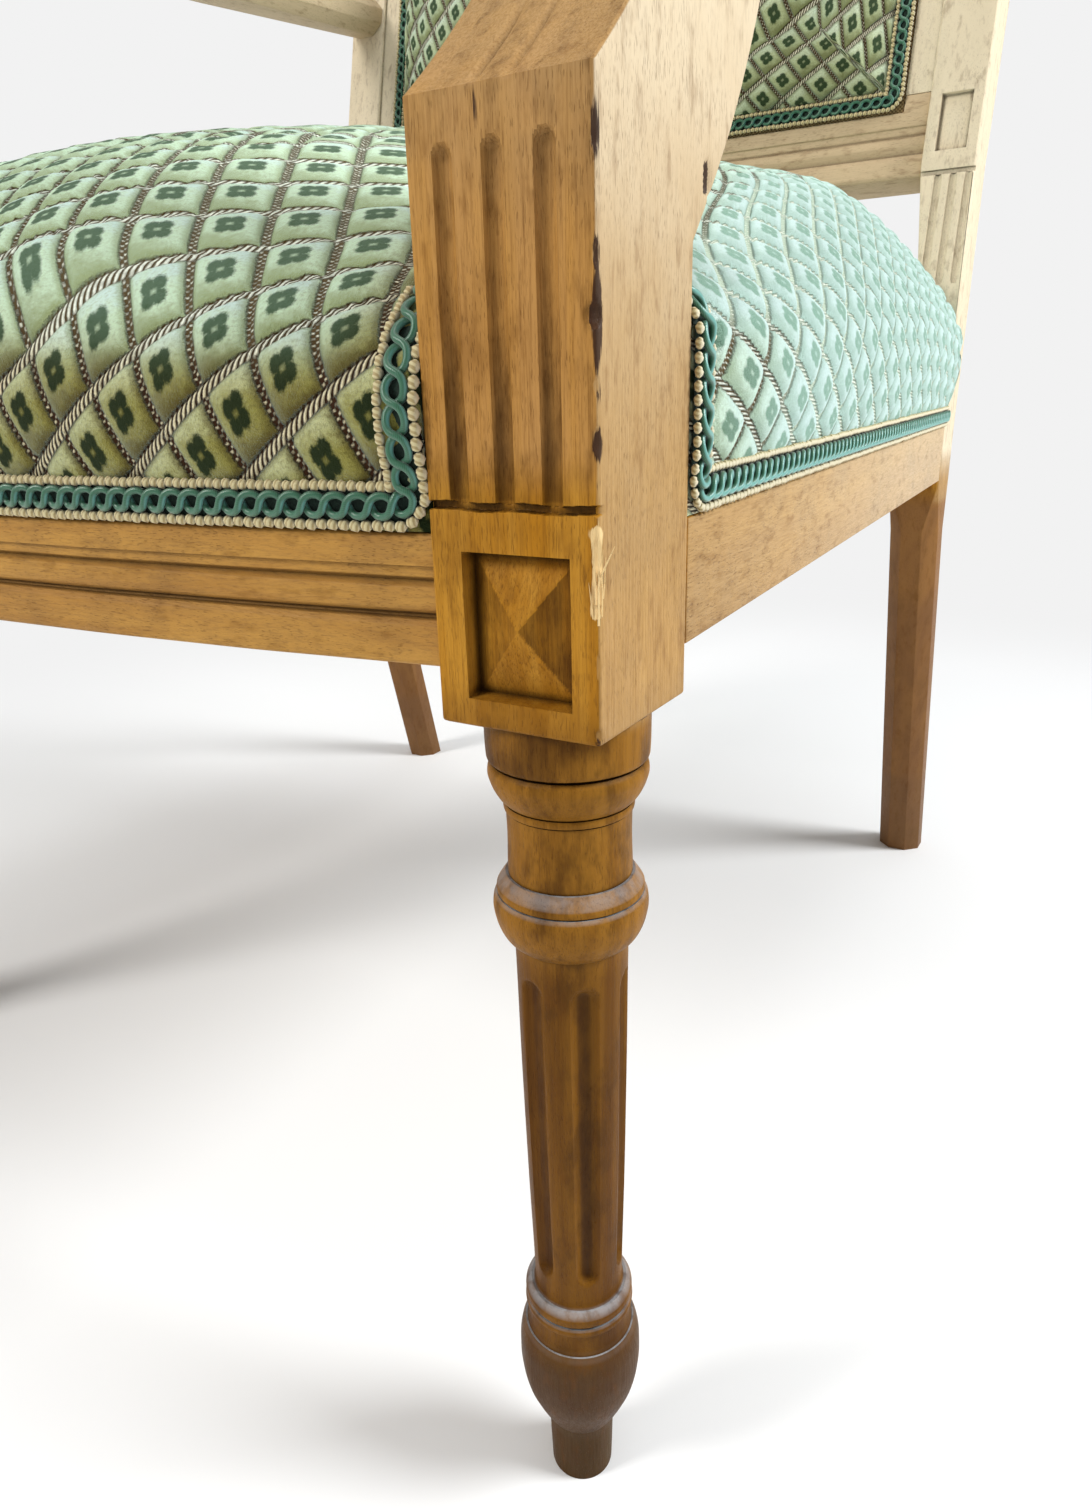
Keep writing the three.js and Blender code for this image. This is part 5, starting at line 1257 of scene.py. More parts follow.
def seat_surface(u, v, e, shrink):
    """Points of the seat: u, v on the rim of the unit square, e up the edge, shrink towards the middle."""
    round_share, front, rear = seat_profile(e)
    du, dv = rounded(u, v, round_share)
    y = (front + rear) / 2 + dv * shrink * (rear - front) / 2
    x = beside_post(du * shrink * (side_half(y) - seat_inset(SIDE_RADIUS, e)), y)
    y = y + bow(x) * np.maximum(0, -dv * shrink)
    z = SEAT_FOOT + (SHOULDER + seat_dome(x, y)) * e
    return np.stack([x, y, z], -1)


def rim_walk(u_values, v_values):
    """The unit square's rim as columns, counter-clockwise from the front left corner, seen from above."""
    front = [(u, -1.0) for u in u_values[:-1]]
    right = [(1.0, v) for v in v_values[:-1]]
    rear = [(u, 1.0) for u in u_values[:0:-1]]
    left = [(-1.0, v) for v in v_values[:0:-1]]
    return np.array(front + right + rear + left)


def cushion(surface, u_values, v_values, e_values):
    """Edge rings up to the rim, then the crown's grid inside it, welded along the rim.
    Returns the rim's columns, the edge's and the crown's points, and quads over both."""
    rim = rim_walk(u_values, v_values)
    columns = len(rim)
    rows = len(e_values)
    nu = len(u_values)
    nv = len(v_values)
    e = np.asarray(e_values)[:, None]
    edge = surface(rim[None, :, 0], rim[None, :, 1], e + np.zeros((1, columns)), 1.0)
    inner_u, inner_v = np.meshgrid(u_values[1:-1], v_values[1:-1])
    size = np.maximum(np.maximum(np.abs(inner_u), np.abs(inner_v)), 1e-6)
    inner = surface(inner_u / size, inner_v / size, np.ones_like(size), size)
    index = np.zeros((nv, nu), np.int64)
    base = (rows - 1) * columns
    index[0, :] = base + np.arange(nu)
    index[:, -1] = base + (nu - 1) + np.arange(nv)
    index[-1, ::-1] = base + (nu - 1) + (nv - 1) + np.arange(nu)
    left = base + (2 * (nu - 1) + (nv - 1) + np.arange(nv))
    left[-1] = base
    index[::-1, 0] = left
    index[1:-1, 1:-1] = rows * columns + np.arange((nu - 2) * (nv - 2)).reshape(nv - 2, nu - 2)
    crown = np.stack([index[:-1, :-1], index[:-1, 1:], index[1:, 1:], index[1:, :-1]], -1).reshape(-1, 4)
    return rim, edge, inner, np.concatenate([grid_faces(rows, columns, closed=True), crown])


def both(edge, inner):
    """One list from values on a cushion's edge and on its crown."""
    size = edge.shape[2:]
    return np.concatenate([edge.reshape(-1, *size), inner.reshape(-1, *size)])


def seat_fabric(edge, inner, rim):
    """Fabric coordinates: the cloth lies flat over the crown and turns down at the front and sides."""
    steps = np.diff(edge, axis=0)
    start = np.zeros((1, edge.shape[1]))
    rise_yz = np.concatenate([start, np.cumsum(np.hypot(steps[..., 1], steps[..., 2]), 0)])
    rise_xz = np.concatenate([start, np.cumsum(np.hypot(steps[..., 0], steps[..., 2]), 0)])
    drop_yz = rise_yz[-1] - rise_yz
    drop_xz = rise_xz[-1] - rise_xz
    x_rim, y_rim, _ = edge[-1].T
    u, v = rim.T
    at_front = v == -1
    probe = np.argmin(np.abs(edge[0, :, 0] - 190) + 1000 * ~at_front)
    level = SEAT_FOOT + rise_yz[-1, probe] - y_rim[probe]
    # The front rim's cloth heights, counted from the gimp, pull the crown's lines with them
    front_x = x_rim[at_front]
    front_lift = (SEAT_FOOT + rise_yz[-1] - level - y_rim)[at_front]

    def lift(x, y):
        return np.interp(x, front_x, front_lift) * (1 - smoothstep(120, 420, y))

    corner_front = smoothstep(0.86, 1.0, np.abs(u)) * 0.5
    corner_side = 1 - 0.5 * smoothstep(0.86, 1.0, np.abs(v))
    side_share = np.where(np.abs(v) == 1, corner_front, corner_side)
    t_front = level + y_rim + lift(x_rim, y_rim) - np.where(v < 0, 1, -1) * drop_yz
    s_side = np.sign(u) * (np.abs(x_rim) + drop_xz)
    t_side = level + edge[..., 1] + lift(np.broadcast_to(x_rim, edge.shape[:2]), edge[..., 1])
    s = lerp(edge[..., 0], s_side, side_share)
    t = lerp(t_front, t_side, side_share)
    t_inner = level + inner[..., 1] + lift(inner[..., 0], inner[..., 1])
    return np.stack([both(s, inner[..., 0]), both(t, t_inner)], 1)


def clear_of_posts(points, on_side):
    """Cloth that would lie in a post or a stile is tucked against its nearest face."""
    x, y, z = points.T
    wide = np.abs(x)
    inner = POST_INNER - TUCK
    rear = post_rear(z) + TUCK
    inside = (wide > inner) & (y < rear) & (z < 520)
    wide = np.where(inside & ~on_side, inner, wide)
    wide = np.where(inside & on_side, np.minimum(wide, POST_OUTER - 0.8), wide)
    y = np.where(inside & on_side, rear, y)
    taper = [STILE_SLOPE_START, STILE_TAPER_END]
    stile_inner = np.interp(z, taper, [STILE_INNER_LOW, STILE_INNER_HIGH]) - TUCK
    stile_front = STILE_SETBACK + STILE_SLOPE * (z - STILE_SLOPE_START) - TUCK
    inside = (wide > stile_inner) & (y > stile_front)
    wide = np.where(inside & ~on_side, stile_inner, wide)
    y = np.where(inside & on_side, stile_front, y)
    return np.stack([wide * np.sign(x), y, z], 1)


def seat_pale(points, normals):
    """How much painted light pales the seat: more on top, to the rear and most on the right side; beside the
    posts at the front it is held low, as painted shade.
    """
    x, y, z = points.T
    pale = 0.05 + 0.5 * smoothstep(0.1, 0.85, normals[:, 2]) + smoothstep(0.3, 0.8, normals[:, 0])
    pale += 0.3 * smoothstep(80, 330, y)
    lit = np.maximum(smoothstep(55, 200, y), smoothstep(372, 402, z) * (normals[:, 0] > 0.3))
    pale = np.minimum(pale, 0.72 + 0.3 * lit)
    return np.clip(pale * (1 - 0.75 * smoothstep(206, 236, x) * (y < 60)), 0, 1)


def velvet_values(fabric, cells, pale):
    """What the velvet's material reads at each point."""
    return {"fabric": with_zero(fabric), "lattice": with_zero(cells), "pale": pale}


def make_seat():
    u_values = graded(-1, 1, lambda u: np.where(u > 0.35, 0.0042, 0.0042 + (0.35 - u) * 0.014))
    v_values = graded(-1, 1, lambda v: np.where(v < -0.5, 0.0045, 0.0045 + (v + 0.5) * 0.006))
    e_values = 1 - (1 - np.linspace(0, 1, 96)) ** 1.25
    rim, edge, inner, quads = cushion(seat_surface, u_values, v_values, e_values)
    fabric = seat_fabric(edge, inner, rim)
    cells = seat_cells(fabric)
    points = both(edge, inner)
    normals, quads = turned(points, quads, (0, 0, 1))
    relief = (velvet_relief(cells) - GROUND_DEPTH) * smoothstep(SEAT_FOOT + 6, SEAT_FOOT + 16, points[:, 2])
    beside_posts = (np.abs(points[:, 0]) > POST_INNER) & (points[:, 1] < 66) & (points[:, 2] < GIMP_TOP + 3)
    relief = np.where(beside_posts, np.minimum(relief, -0.4), relief)
    values = velvet_values(fabric, cells, seat_pale(points, normals))
    side_rim = (np.abs(rim[:, 0]) == 1) & (np.abs(rim[:, 1]) < 1)
    on_side = both(np.tile(side_rim, (len(e_values), 1)), np.abs(inner[..., 0]) > 150)
    points = clear_of_posts(points + normals * relief[:, None], on_side)
    under = np.arange(len(rim))[::-1].reshape(1, -1)
    mesh = build_mesh("seat_cover_fine", points, [quads, under], sharp=80, values=values)
    piece = add_piece("seat_velvet", mesh, VELVET, ["seat_cover"])


make_seat()


def make_stuffing():
    """The pad under the cover, which follows the cover a little way below it."""
    grids = np.linspace(-1, 1, 81), np.linspace(-1, 1, 71), np.linspace(0, 1, 24) ** 0.8
    rim, edge, inner, quads = cushion(seat_surface, *grids)
    points = both(edge, inner)
    normals, quads = turned(points, quads, (0, 0, 1))
    on_side = both(np.zeros(edge.shape[:2], bool), np.abs(inner[..., 0]) > 150)
    points = clear_of_posts(points - normals * 4.5, on_side)
    low, high = to_drawing(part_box("seat_stuffing"))
    points = np.clip(points, low + 0.5, high - 0.5)
    points[:, 2] -= 0.3 * np.abs(value_noise(points, 14, 41))
    under = np.arange(len(rim))[::-1].reshape(1, -1)
    mesh = build_mesh("seat_stuffing_fine", points, [quads, under], sharp=60)
    piece = add_piece("seat_padding", mesh, HAIR, ["seat_stuffing"])


# Gimp braid

def tube(path, radius, sides, lift):
    """A round cord along a path, with strand coordinates along and round it."""
    ahead = unit(np.gradient(path, axis=0))
    side = unit(np.cross(ahead, lift))
    over = np.cross(side, ahead)
    angle = np.linspace(0, 2 * math.pi, sides, endpoint=False)
    rings = (path[:, None] + radius * (np.cos(angle)[None, :, None] * side[:, None]
                                       + np.sin(angle)[None, :, None] * over[:, None]))
    strand = np.stack([np.repeat(run_lengths(path), sides), np.tile(angle, len(path))], 1)
    return rings.reshape(-1, 3), [grid_faces(len(path), sides, closed=True)], with_zero(strand)


class Braid:
    """Places things on a band that follows a path: along it, across it and out from it."""

    def __init__(self, path, outward):
        self.path = np.asarray(path, float)
        self.at = run_lengths(self.path)
        self.length = self.at[-1]
        self.ahead = unit(np.gradient(self.path, axis=0))
        self.out = unit(outward - (outward * self.ahead).sum(1, keepdims=True) * self.ahead)
        self.side = np.cross(self.ahead, self.out)

    def sample(self, values, along):
        return resampled(values, self.at, along)

    def place(self, along, across, out):
        across = np.broadcast_to(across, along.shape)[:, None]
        out = np.broadcast_to(out, along.shape)[:, None]
        return (self.sample(self.path, along) + self.sample(self.side, along) * across
                + self.sample(self.out, along) * out)


def pick(detail, near, middle, far):
    """One of three counts, by how closely a braid is seen."""
    return near if detail > 0.8 else middle if detail > 0.5 else far


CHAIN_PERIOD = 13.4
CORD_RADIUS = 1.0


def chain_cord(braid, phase, detail, half_height):
    """One of the two cords that cross each other all along the braid."""
    turns = max(2, int(round(braid.length / CHAIN_PERIOD)))
    period = braid.length / turns
    t = np.linspace(0, turns, turns * max(14, int(44 * detail)) + 1)
    turn = 2 * math.pi * t + phase
    along = np.clip(t * period + 0.04 * period * np.sin(2 * turn), 0, braid.length)
    path = braid.place(along, half_height * np.cos(turn), 1.8 + 0.75 * np.sin(turn))
    return tube(path, CORD_RADIUS, pick(detail, 12, 7, 6), braid.sample(braid.out, along))


def bead_shape(detail):
    """A little twisted knot of radius 1 as rings, with its strand coordinates."""
    theta = np.linspace(0.12, math.pi - 0.12, pick(detail, 9, 6, 4))
    phi = np.linspace(0, 2 * math.pi, pick(detail, 14, 10, 6), endpoint=False)
    t, p = np.meshgrid(theta, phi, indexing="ij")
    swell = 1 + 0.16 * np.cos(3 * p + 5 * t)
    rings = np.stack([np.cos(t), np.sin(t) * np.cos(p) * swell, np.sin(t) * np.sin(p) * swell], -1)
    return rings, with_zero(np.stack([t.ravel() * 0.9, p.ravel() * 0.5], 1))


def beads(braid, across, size, pitch, detail, seed):
    """A row of little twisted knots along the braid."""
    count = max(2, int(braid.length / pitch))
    rings, strand = bead_shape(detail)
    shape, faces = lofted(rings)
    rng = np.random.default_rng(seed)
    jitter = rng.uniform(-0.2, 0.2, (count, 3))
    # Evenly spaced along the row itself, so that no bead is stretched round a corner
    fine = np.linspace(0, braid.length, int(braid.length) + 2)
    run = run_lengths(braid.place(fine, across, 0.0))
    centres = np.interp((np.arange(count) + 0.5) * run[-1] / count, run, fine)
    middle = braid.place(centres, across + jitter[:, 1], size[2] * 0.9 + 0.3 + 0.3 * jitter[:, 2])
    local = np.stack([braid.sample(axis, centres) for axis in (braid.ahead, braid.side, braid.out)], 1)
    points = (middle[:, None] + np.einsum("pk,nkc->npc", shape * np.array(size), local)).reshape(-1, 3)
    shift = (np.arange(count) * len(shape))[:, None, None]
    faces = [(group[None] + shift).reshape(-1, group.shape[1]) for group in faces]
    return points, faces, np.tile(strand, (count, 1))


def band(braid, half_width, thickness):
    """The flat ground of the braid."""
    along = np.linspace(0, braid.length, max(2, int(braid.length / 3.0)) + 1)
    outline = [(-half_width, 0.05), (-half_width + 0.4, thickness), (half_width - 0.4, thickness),
               (half_width, 0.05)]
    points, faces = lofted(np.stack([braid.place(along, across, out) for across, out in outline], 1))
    return points, facing_out(points, faces), np.zeros_like(points)


def make_gimp(name, braid, node, detail, seed, narrow=1.0, bead=1.0):
    """Ground, two interlaced cords and two rows of beads as one piece with three materials."""
    parts = [band(braid, 4.9 * narrow, 0.7)]
    parts += [chain_cord(braid, phase, detail, 2.6 * narrow) for phase in (0.0, math.pi)]
    rows = (4.8, (1.6, 1.4, 1.2), 2.9, seed), (-4.9, (1.75, 1.45, 1.25), 3.3, seed + 5)
    for across, size, pitch, row_seed in rows:
        size = [value * bead for value in size]
        parts.append(beads(braid, across * narrow, size, pitch, detail, row_seed))
    points, faces = merged([(part[0], part[1]) for part in parts])
    strand = np.concatenate([part[2] for part in parts])
    face_counts = [sum(len(group) for group in part[1]) for part in parts]
    mesh = build_mesh(name, points, faces, sharp=120, values={"strand": strand})
    add_piece(name, mesh, None, [node])
    for material in (GROUND, TEAL, BEIGE):
        mesh.materials.append(material)
    mesh.polygons.foreach_set("material_index", np.repeat([0, 1, 1, 2, 2], face_counts).astype(np.int32))
    mesh.update()


def seat_front_y(x, z):
    """The seat cover's front at x, z near its lower edge."""
    y = np.zeros_like(x)
    for _ in range(4):
        e = np.clip((z - SEAT_FOOT) / (SHOULDER + seat_dome(x, y)), 0, 1)
        round_share, front, rear = seat_profile(e)
        u = x / (side_half(y) - seat_inset(SIDE_RADIUS, e)) / np.sqrt(1 - round_share / 2)
        dv = -np.sqrt(1 - round_share * np.clip(u * u, 0, 1) / 2)
        y = (front + rear) / 2 + dv * (rear - front) / 2 + bow(x) * -dv
    return y


def seat_side_x(y, z):
    """Half the seat cover's width at y, z near its lower edge."""
    x = side_half(y)
    for _ in range(4):
        e = np.clip((z - SEAT_FOOT) / (SHOULDER + seat_dome(x, y)), 0, 1)
        round_share, front, rear = seat_profile(e)
        v = np.clip((y - (front + rear) / 2) / ((rear - front) / 2), -1, 1)
        x = np.sqrt(1 - round_share * v * v / 2) * (side_half(y) - seat_inset(SIDE_RADIUS, e))
        x = beside_post(x, y)
    return x


def bent_line(corners, radius=4.0, gap=1.5):
    """A line through 2-D corners with its turns rounded."""
    corners = np.asarray(corners, float)
    points = [corners[0]]
    t = np.linspace(0, 1, 9)[:, None]
    for before, corner, after in zip(corners[:-2], corners[1:-1], corners[2:]):
        start = corner + unit(before - corner) * radius
        end = corner + unit(after - corner) * radius
        points.extend((1 - t)**2 * start + 2 * t * (1 - t) * corner + t**2 * end)
    points = np.array([*points, corners[-1]])
    at = run_lengths(points)
    return resampled(points, at, np.linspace(0, at[-1], int(at[-1] / gap) + 1))


def lean(surface, a, b):
    """How fast a surface runs out as b grows."""
    return (surface(a, b + 1) - surface(a, b - 1)) / 2


def make_front_gimp():
    """Down beside one post, along the foot of the seat and up beside the other."""
    edge = POST_INNER + TUCK - GIMP_HEIGHT / 2
    low = SEAT_FOOT + GIMP_HEIGHT / 2
    x, z = bent_line([(edge, GIMP_TOP), (edge, low), (-edge, low), (-edge, GIMP_TOP)]).T
    path = np.stack([x, seat_front_y(x, z) - GIMP_LIFT, z], 1)
    slope = (bow(x + 1) - bow(x - 1)) / 2
    outward = np.stack([slope, -np.ones(len(x)), lean(seat_front_y, x, z)], 1)
    make_gimp("gimp_seat_front", Braid(path, outward), "seat_gimp_front", 1.0, seed=2)


def make_side_gimp(side, sign):
    """Down behind a post and along the side of the seat to the stile."""
    edge = POST_DEPTH - 1.2 + GIMP_HEIGHT / 2
    low = SEAT_FOOT + GIMP_HEIGHT / 2
    y, z = bent_line([(edge, GIMP_TOP), (edge, low), (STILE_SETBACK - 0.6, low)]).T
    path = np.stack([sign * (seat_side_x(y, z) + GIMP_LIFT), y, z], 1)
    outward = np.stack([sign * np.ones(len(y)), np.full(len(y), 0.048), -lean(seat_side_x, y, z)], 1)
    if sign > 0:
        path, outward = path[::-1], outward[::-1]
    detail = 0.9 if sign > 0 else 0.4
    make_gimp("gimp_seat_" + side, Braid(path, outward), "seat_gimp_" + side, detail, seed=7, bead=0.85)


def make_rear_gimp():
    half = STILE_INNER_LOW - 0.9
    x = np.linspace(-half, half, 200)
    low = np.full(len(x), SEAT_FOOT + GIMP_HEIGHT / 2)
    path = np.stack([x, np.full(len(x), SEAT_REAR + GIMP_LIFT), low], 1)
    outward = np.tile([0.0, 1.0, 0.0], (len(x), 1))
    make_gimp("gimp_seat_rear", Braid(path, outward), "seat_gimp_rear", 0.4, seed=9)


make_front_gimp()
make_side_gimp("right", 1)
make_side_gimp("left", -1)
make_rear_gimp()


# Back: padded panel inside the frame, a flat outside back, and gimp round both

BACK_EDGE = 12.5
BACK_ROUND = 26.0


def on_back(u, v, inset, depth):
    """Places between the back's edges, an inset away from them and at a depth."""
    low = BACK_PANEL_BOTTOM + 0.3 + inset
    high = BACK_PANEL_TOP - 0.3 - inset
    z = (low + high) / 2 + v * (high - low) / 2
    return np.stack([u * (PANEL_HALF - inset), depth + 0 * z, z], -1)


def back_surface(u, v, e, shrink):
    """The padded inner back, which swells forward."""
    inset = BACK_EDGE + BACK_ROUND * (1 - (1 - e ** 2.4) ** (1 / 2.4))
    du, dv = rounded(u, v, 0.5 * e)
    return on_back(du * shrink, dv * shrink, inset, 1.1 - 20 * e - 20 * (1 - shrink ** 2) * (e >= 1))


def outside_surface(u, v, e, shrink):
    """The outside back, nearly flat."""
    depth = 28.6 + 1.4 * e + 1.6 * (1 - shrink ** 2) * (e >= 1)
    return on_back(u * shrink, v * shrink, 0.3 + 1.2 * e, depth)


def make_back_cover(name, surface, node, toward, rows, gap):
    """Velvet over one side of the back, its relief fading out at its nailed edge."""
    u_values = graded(-1, 1, lambda u: np.full_like(u, gap / PANEL_HALF))
    v_values = graded(-1, 1, lambda v: np.full_like(v, gap / ((BACK_PANEL_TOP - BACK_PANEL_BOTTOM) / 2)))
    e_values = np.linspace(0, 1, rows)
    rim, edge, inner, quads = cushion(surface, u_values, v_values, e_values)
    rise = np.cumsum(np.linalg.norm(np.diff(edge, axis=0), axis=2), 0)
    rise = np.concatenate([np.zeros((1, len(rim))), rise])
    drop = (rise[-1] - rise) * 0.5
    u, v = rim.T
    s = edge[..., 0] + np.where(np.abs(u) >= np.abs(v), np.sign(u), 0) * drop
    t = edge[..., 2] + np.where(np.abs(v) >= np.abs(u), np.sign(v), 0) * drop
    fabric = np.stack([both(s, inner[..., 0]), both(t, inner[..., 2])], 1)
    cells = plain_cells(fabric)
    points = back_place(both(edge, inner))
    normals, quads = turned(points, quads, toward)
    inward_share = both(np.tile(e_values[:, None], (1, len(rim))), np.ones(inner.shape[:2]))
    relief = (velvet_relief(cells) - GROUND_DEPTH) * smoothstep(0.0, 0.15, inward_share)
    # Painted light: the cover is paler where it faces up
    pale = np.clip(0.25 + 0.4 * smoothstep(0.0, 0.7, normals[:, 2]), 0, 1)
    values = velvet_values(fabric, cells, pale)
    border = np.arange(len(rim)).reshape(1, -1)
    mesh = build_mesh(name, points + normals * relief[:, None], [quads, border], sharp=180, values=values)
    return add_piece(name, mesh, VELVET, [node])


inner_cover = make_back_cover("back_velvet", back_surface, "inner_back_cover", (0, -1, 0), 24, 1.9)
outer_cover = make_back_cover("outside_back_velvet", outside_surface, "outside_back_cover", (0, 1, 0), 4, 2.6)


def make_back_gimp(name, node, depth, sign, detail, seed):
    """Gimp round one side of the back: sign is -1 in front and 1 behind."""
    inset = GIMP_HEIGHT / 2 - 0.05
    half = PANEL_HALF - inset
    low = BACK_PANEL_BOTTOM + inset
    high = BACK_PANEL_TOP - inset
    x, z = bent_line([(0, low), (half, low), (half, high), (-half, high), (-half, low), (0, low)]).T
    path = back_place(np.stack([x, np.full(len(x), depth), z], 1))[::-sign]
    outward = np.tile([0.0, sign * math.cos(BACK_ANGLE), -sign * math.sin(BACK_ANGLE)], (len(x), 1))
    make_gimp(name, Braid(path, outward), node, detail, seed)


make_back_gimp("gimp_back_front", "back_gimp_front", 0.8, -1, 0.6, 11)
make_back_gimp("gimp_back_rear", "back_gimp_rear", 31.0, 1, 0.4, 13)


# Arm pads, smoothed from the frame's solids, with their gimp

PAD_VOXEL = 1.6
PAD_LENGTH = 235.0
PAD_WIDTH = 39.0


def smoothed(node, name):
    """A finer copy of a CAD node with its edges worn round."""
    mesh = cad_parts[node].data.copy()
    mesh.name = name
    piece = in_scene(name, mesh)
    remesh = piece.modifiers.new("remesh", "REMESH")
    remesh.mode = "VOXEL"
    remesh.voxel_size = PAD_VOXEL * MM
    smooth = piece.modifiers.new("smooth", "SMOOTH")
    smooth.iterations = 10
    smooth.factor = 0.6
    fine = bpy.data.meshes.new_from_object(piece.evaluated_get(bpy.context.evaluated_depsgraph_get()))
    bpy.data.objects.remove(piece)
    return fine


def make_arm_pad(side):
    """Velvet over an arm pad, its relief raised on the pad's rounded top."""
    name = "arm_velvet_" + side
    fine = smoothed("arm_pad_" + side, name)
    co = np.zeros(len(fine.vertices) * 3)
    fine.vertices.foreach_get("co", co)
    co = co.reshape(-1, 3)
    normals = np.zeros(len(fine.vertices) * 3)
    fine.vertex_normals.foreach_get("vector", normals)
    normals = normals.reshape(-1, 3)
    x, y, z = to_drawing(co).T
    lean_out = np.sign(x - (x.max() + x.min()) / 2) * np.maximum(0, 0.6 - normals[:, 2]) * 12
    fabric = np.stack([x + lean_out + 3, y + (z.max() - z) * 0.2], 1)
    cells = plain_cells(fabric)
    relief = (velvet_relief(cells) - GROUND_DEPTH) * smoothstep(-0.1, 0.2, normals[:, 2])
    co += normals * relief[:, None] * MM
    fine.vertices.foreach_set("co", co.ravel())
    # Painted light: the pad is paler where it faces up
    pale = 0.3 + 0.6 * np.clip(normals[:, 2], 0, 1)
    add_values(fine, velvet_values(fabric, cells, pale))
    fine.shade_smooth()
    piece = add_piece(name, fine, VELVET, ["arm_pad_" + side])


def make_pad_gimp(side):
    """A single narrow braid round the foot of the pad, found from the frame's own solid."""
    node = "arm_pad_gimp_" + side
    points = to_drawing([v.co[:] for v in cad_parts[node].data.vertices])
    middle = points.mean(0)
    angle = np.arctan2((points[:, 1] - middle[1]) / PAD_LENGTH, (points[:, 0] - middle[0]) / PAD_WIDTH)
    bins = np.linspace(-math.pi, math.pi, 49)
    near = [points[(angle >= low) & (angle < high)] for low, high in zip(bins[:-1], bins[1:])]
    path = [some.mean(0) for some in near if len(some)]
    path = np.array(path + path[:1])
    at = run_lengths(path)
    path = resampled(path, at, np.linspace(0, at[-1], int(at[-1] / 1.5)))
    outward = (path - middle) * [1, (PAD_WIDTH / PAD_LENGTH) ** 2, 0]
    outward = unit(outward)
    make_gimp("gimp_arm_" + side, Braid(path - outward * 0.9, outward), node, 0.4, seed=17, narrow=0.66)


for side_name in ("right", "left"):
    make_arm_pad(side_name)
    make_pad_gimp(side_name)


# What lies inside or under the seat. Most of it keeps its CAD solid, with its own finish

def dress(material, *starts):
    """Gives a finish to the CAD solids whose names start so."""
    for name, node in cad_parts.items():
        if name.startswith(starts):
            for material_slot in node.material_slots:
                material_slot.link = "OBJECT"
                material_slot.material = material


STEEL = steel_material()
ACROSS, BACK, UP = (1.0, 0.0, 0.0), (0.0, 1.0, 0.0), (0.0, 0.0, 1.0)
JUTE_PALE = srgb(178, 150, 104)
JUTE_DEEP = srgb(118, 92, 58)
JUTE_SEAT = woven_material("jute", JUTE_PALE, JUTE_DEEP, 2.4, (ACROSS, BACK))
JUTE_BACK = woven_material("jute_back", JUTE_PALE, JUTE_DEEP, 2.4, (ACROSS, UP))
DIAGONALS = (0.7, 0.7, 0.0), (-0.7, 0.7, 0.3)
HAIR = woven_material("stuffing", srgb(150, 132, 104), srgb(92, 74, 52), 5.0, DIAGONALS)
DUST = woven_material("dust_cloth", srgb(146, 128, 98), srgb(96, 80, 56), 1.6, (ACROSS, BACK))
INSIDE_WOOD = hidden_wood_material()
make_stuffing()

dress(INSIDE_WOOD, "front_corner_block", "rear_corner_block")
dress(STEEL, "front_block_screw", "rear_block_screw", "seat_spring")
dress(JUTE_SEAT, "seat_strap", "spring_canvas")
dress(JUTE_BACK, "back_strap", "back_canvas")
dress(HAIR, "back_stuffing")


def make_dust_cover():
    """Thin cloth tacked under the rails, sagging a little between them."""
    rear = to_drawing(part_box("dust_cover")[1])[1] - 3
    across, deep = np.meshgrid(np.linspace(-1, 1, 61), np.linspace(0, 1, 65))
    y = lerp(bow(across * POST_INNER) + RAIL_THICKNESS - 8, rear, deep)
    x = across * (side_half(y) - 12)
    sag = 5.0 * (1 - across ** 2) ** 0.7 * (1 - (2 * deep - 1) ** 2) ** 0.7
    z = RAIL_BOTTOM - 0.4 - sag * smoothstep(0.0, 0.1, np.minimum(deep, 1 - deep))
    points = np.stack([x, y, z], -1).reshape(-1, 3)
    mesh = build_mesh("dust_cloth", points, [grid_faces(*x.shape)])
    piece = add_piece("dust_cloth", mesh, DUST, ["dust_cover"])
    size = (float(x.max() - x.min()) * MM, float(y.max() - y.min()) * MM)


make_dust_cover()


# Floor, light and the pale backdrop, in metres

BACKDROP = srgb(242, 242, 242)


def shader_tree(owner):
    """The owner's empty node tree, with functions that add a node and link two sockets."""
    owner.use_nodes = True
    tree = owner.node_tree
    tree.nodes.clear()

    def add(kind, **values):
        made = tree.nodes.new("ShaderNode" + kind)
        for key, value in values.items():
            made.inputs[key.replace("_", " ")].default_value = value
        return made

    return add, tree.links.new


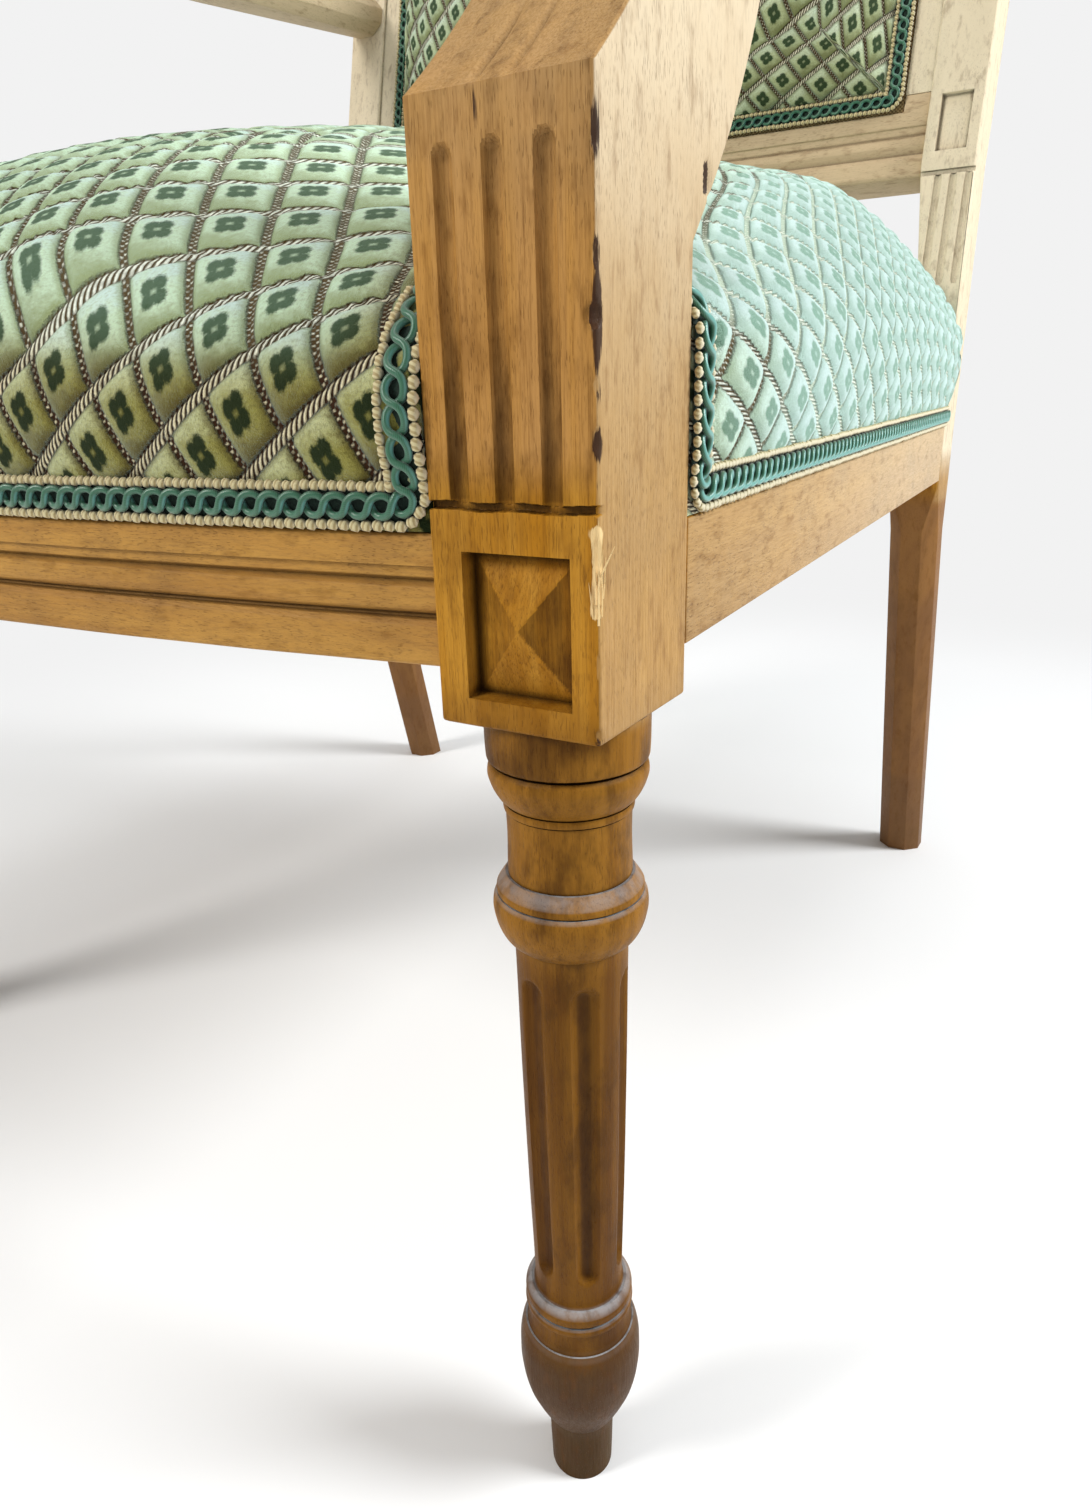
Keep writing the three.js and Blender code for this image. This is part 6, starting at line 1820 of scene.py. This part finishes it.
def make_floor():
    """A pale floor that fades into the backdrop away from the chair."""
    count = 25
    half = 6.0
    xs = np.linspace(-half, half, count) / MM
    grid = np.array([(x, y, 0.0) for y in xs for x in xs])
    mesh = build_mesh("floor", grid, [grid_faces(count, count)])
    floor = in_scene("floor", mesh)
    material = bpy.data.materials.new("floor")
    add, link = shader_tree(material)
    length = add("VectorMath")
    length.operation = "LENGTH"
    fade = add("MapRange", From_Min=0.45, From_Max=1.3)
    fade.interpolation_type = "SMOOTHSTEP"
    mix = add("MixShader")
    link(add("TexCoord").outputs["Object"], length.inputs[0])
    link(length.outputs["Value"], fade.inputs["Value"])
    link(fade.outputs["Result"], mix.inputs[0])
    link(add("BsdfDiffuse", Color=srgb(240, 240, 240)).outputs[0], mix.inputs[1])
    link(add("Emission", Color=BACKDROP).outputs[0], mix.inputs[2])
    link(mix.outputs[0], add("OutputMaterial").inputs["Surface"])
    mesh.materials.append(material)


def make_world():
    """Soft light from all sides, seen from the camera as the backdrop."""
    world = bpy.data.worlds.new("studio")
    bpy.context.scene.world = world
    add, link = shader_tree(world)
    mix = add("MixShader")
    link(add("LightPath").outputs["Is Camera Ray"], mix.inputs[0])
    link(add("Background", Color=(1.0, 1.0, 1.0, 1.0), Strength=0.35).outputs[0], mix.inputs[1])
    link(add("Background", Color=BACKDROP, Strength=1.0).outputs[0], mix.inputs[2])
    link(mix.outputs[0], add("OutputWorld").inputs["Surface"])


def add_lamp(name, place, aim, size, power, color=(1.0, 1.0, 1.0)):
    data = bpy.data.lights.new(name, "AREA")
    data.shape = "DISK"
    data.size = size
    data.energy = power
    data.color = color
    lamp = in_scene(name, data)
    lamp.location = place
    lamp.rotation_euler = (Vector(aim) - Vector(place)).to_track_quat("-Z", "Y").to_euler()


make_floor()
make_world()
add_lamp("overhead", (0.15, -0.1, 2.7), (0.0, 0.0, 0.4), 1.5, 20.0, (0.95, 0.98, 1.0))
add_lamp("key", (2.3, 0.6, 1.9), (0.1, 0.0, 0.4), 1.2, 86, (0.96, 0.985, 1.0))
add_lamp("fill", (-1.2, -2.0, 1.75), (0.2, -0.3, 0.35), 0.8, 44, (1.0, 0.98, 0.95))
bpy.context.scene.view_settings.view_transform = "Standard"
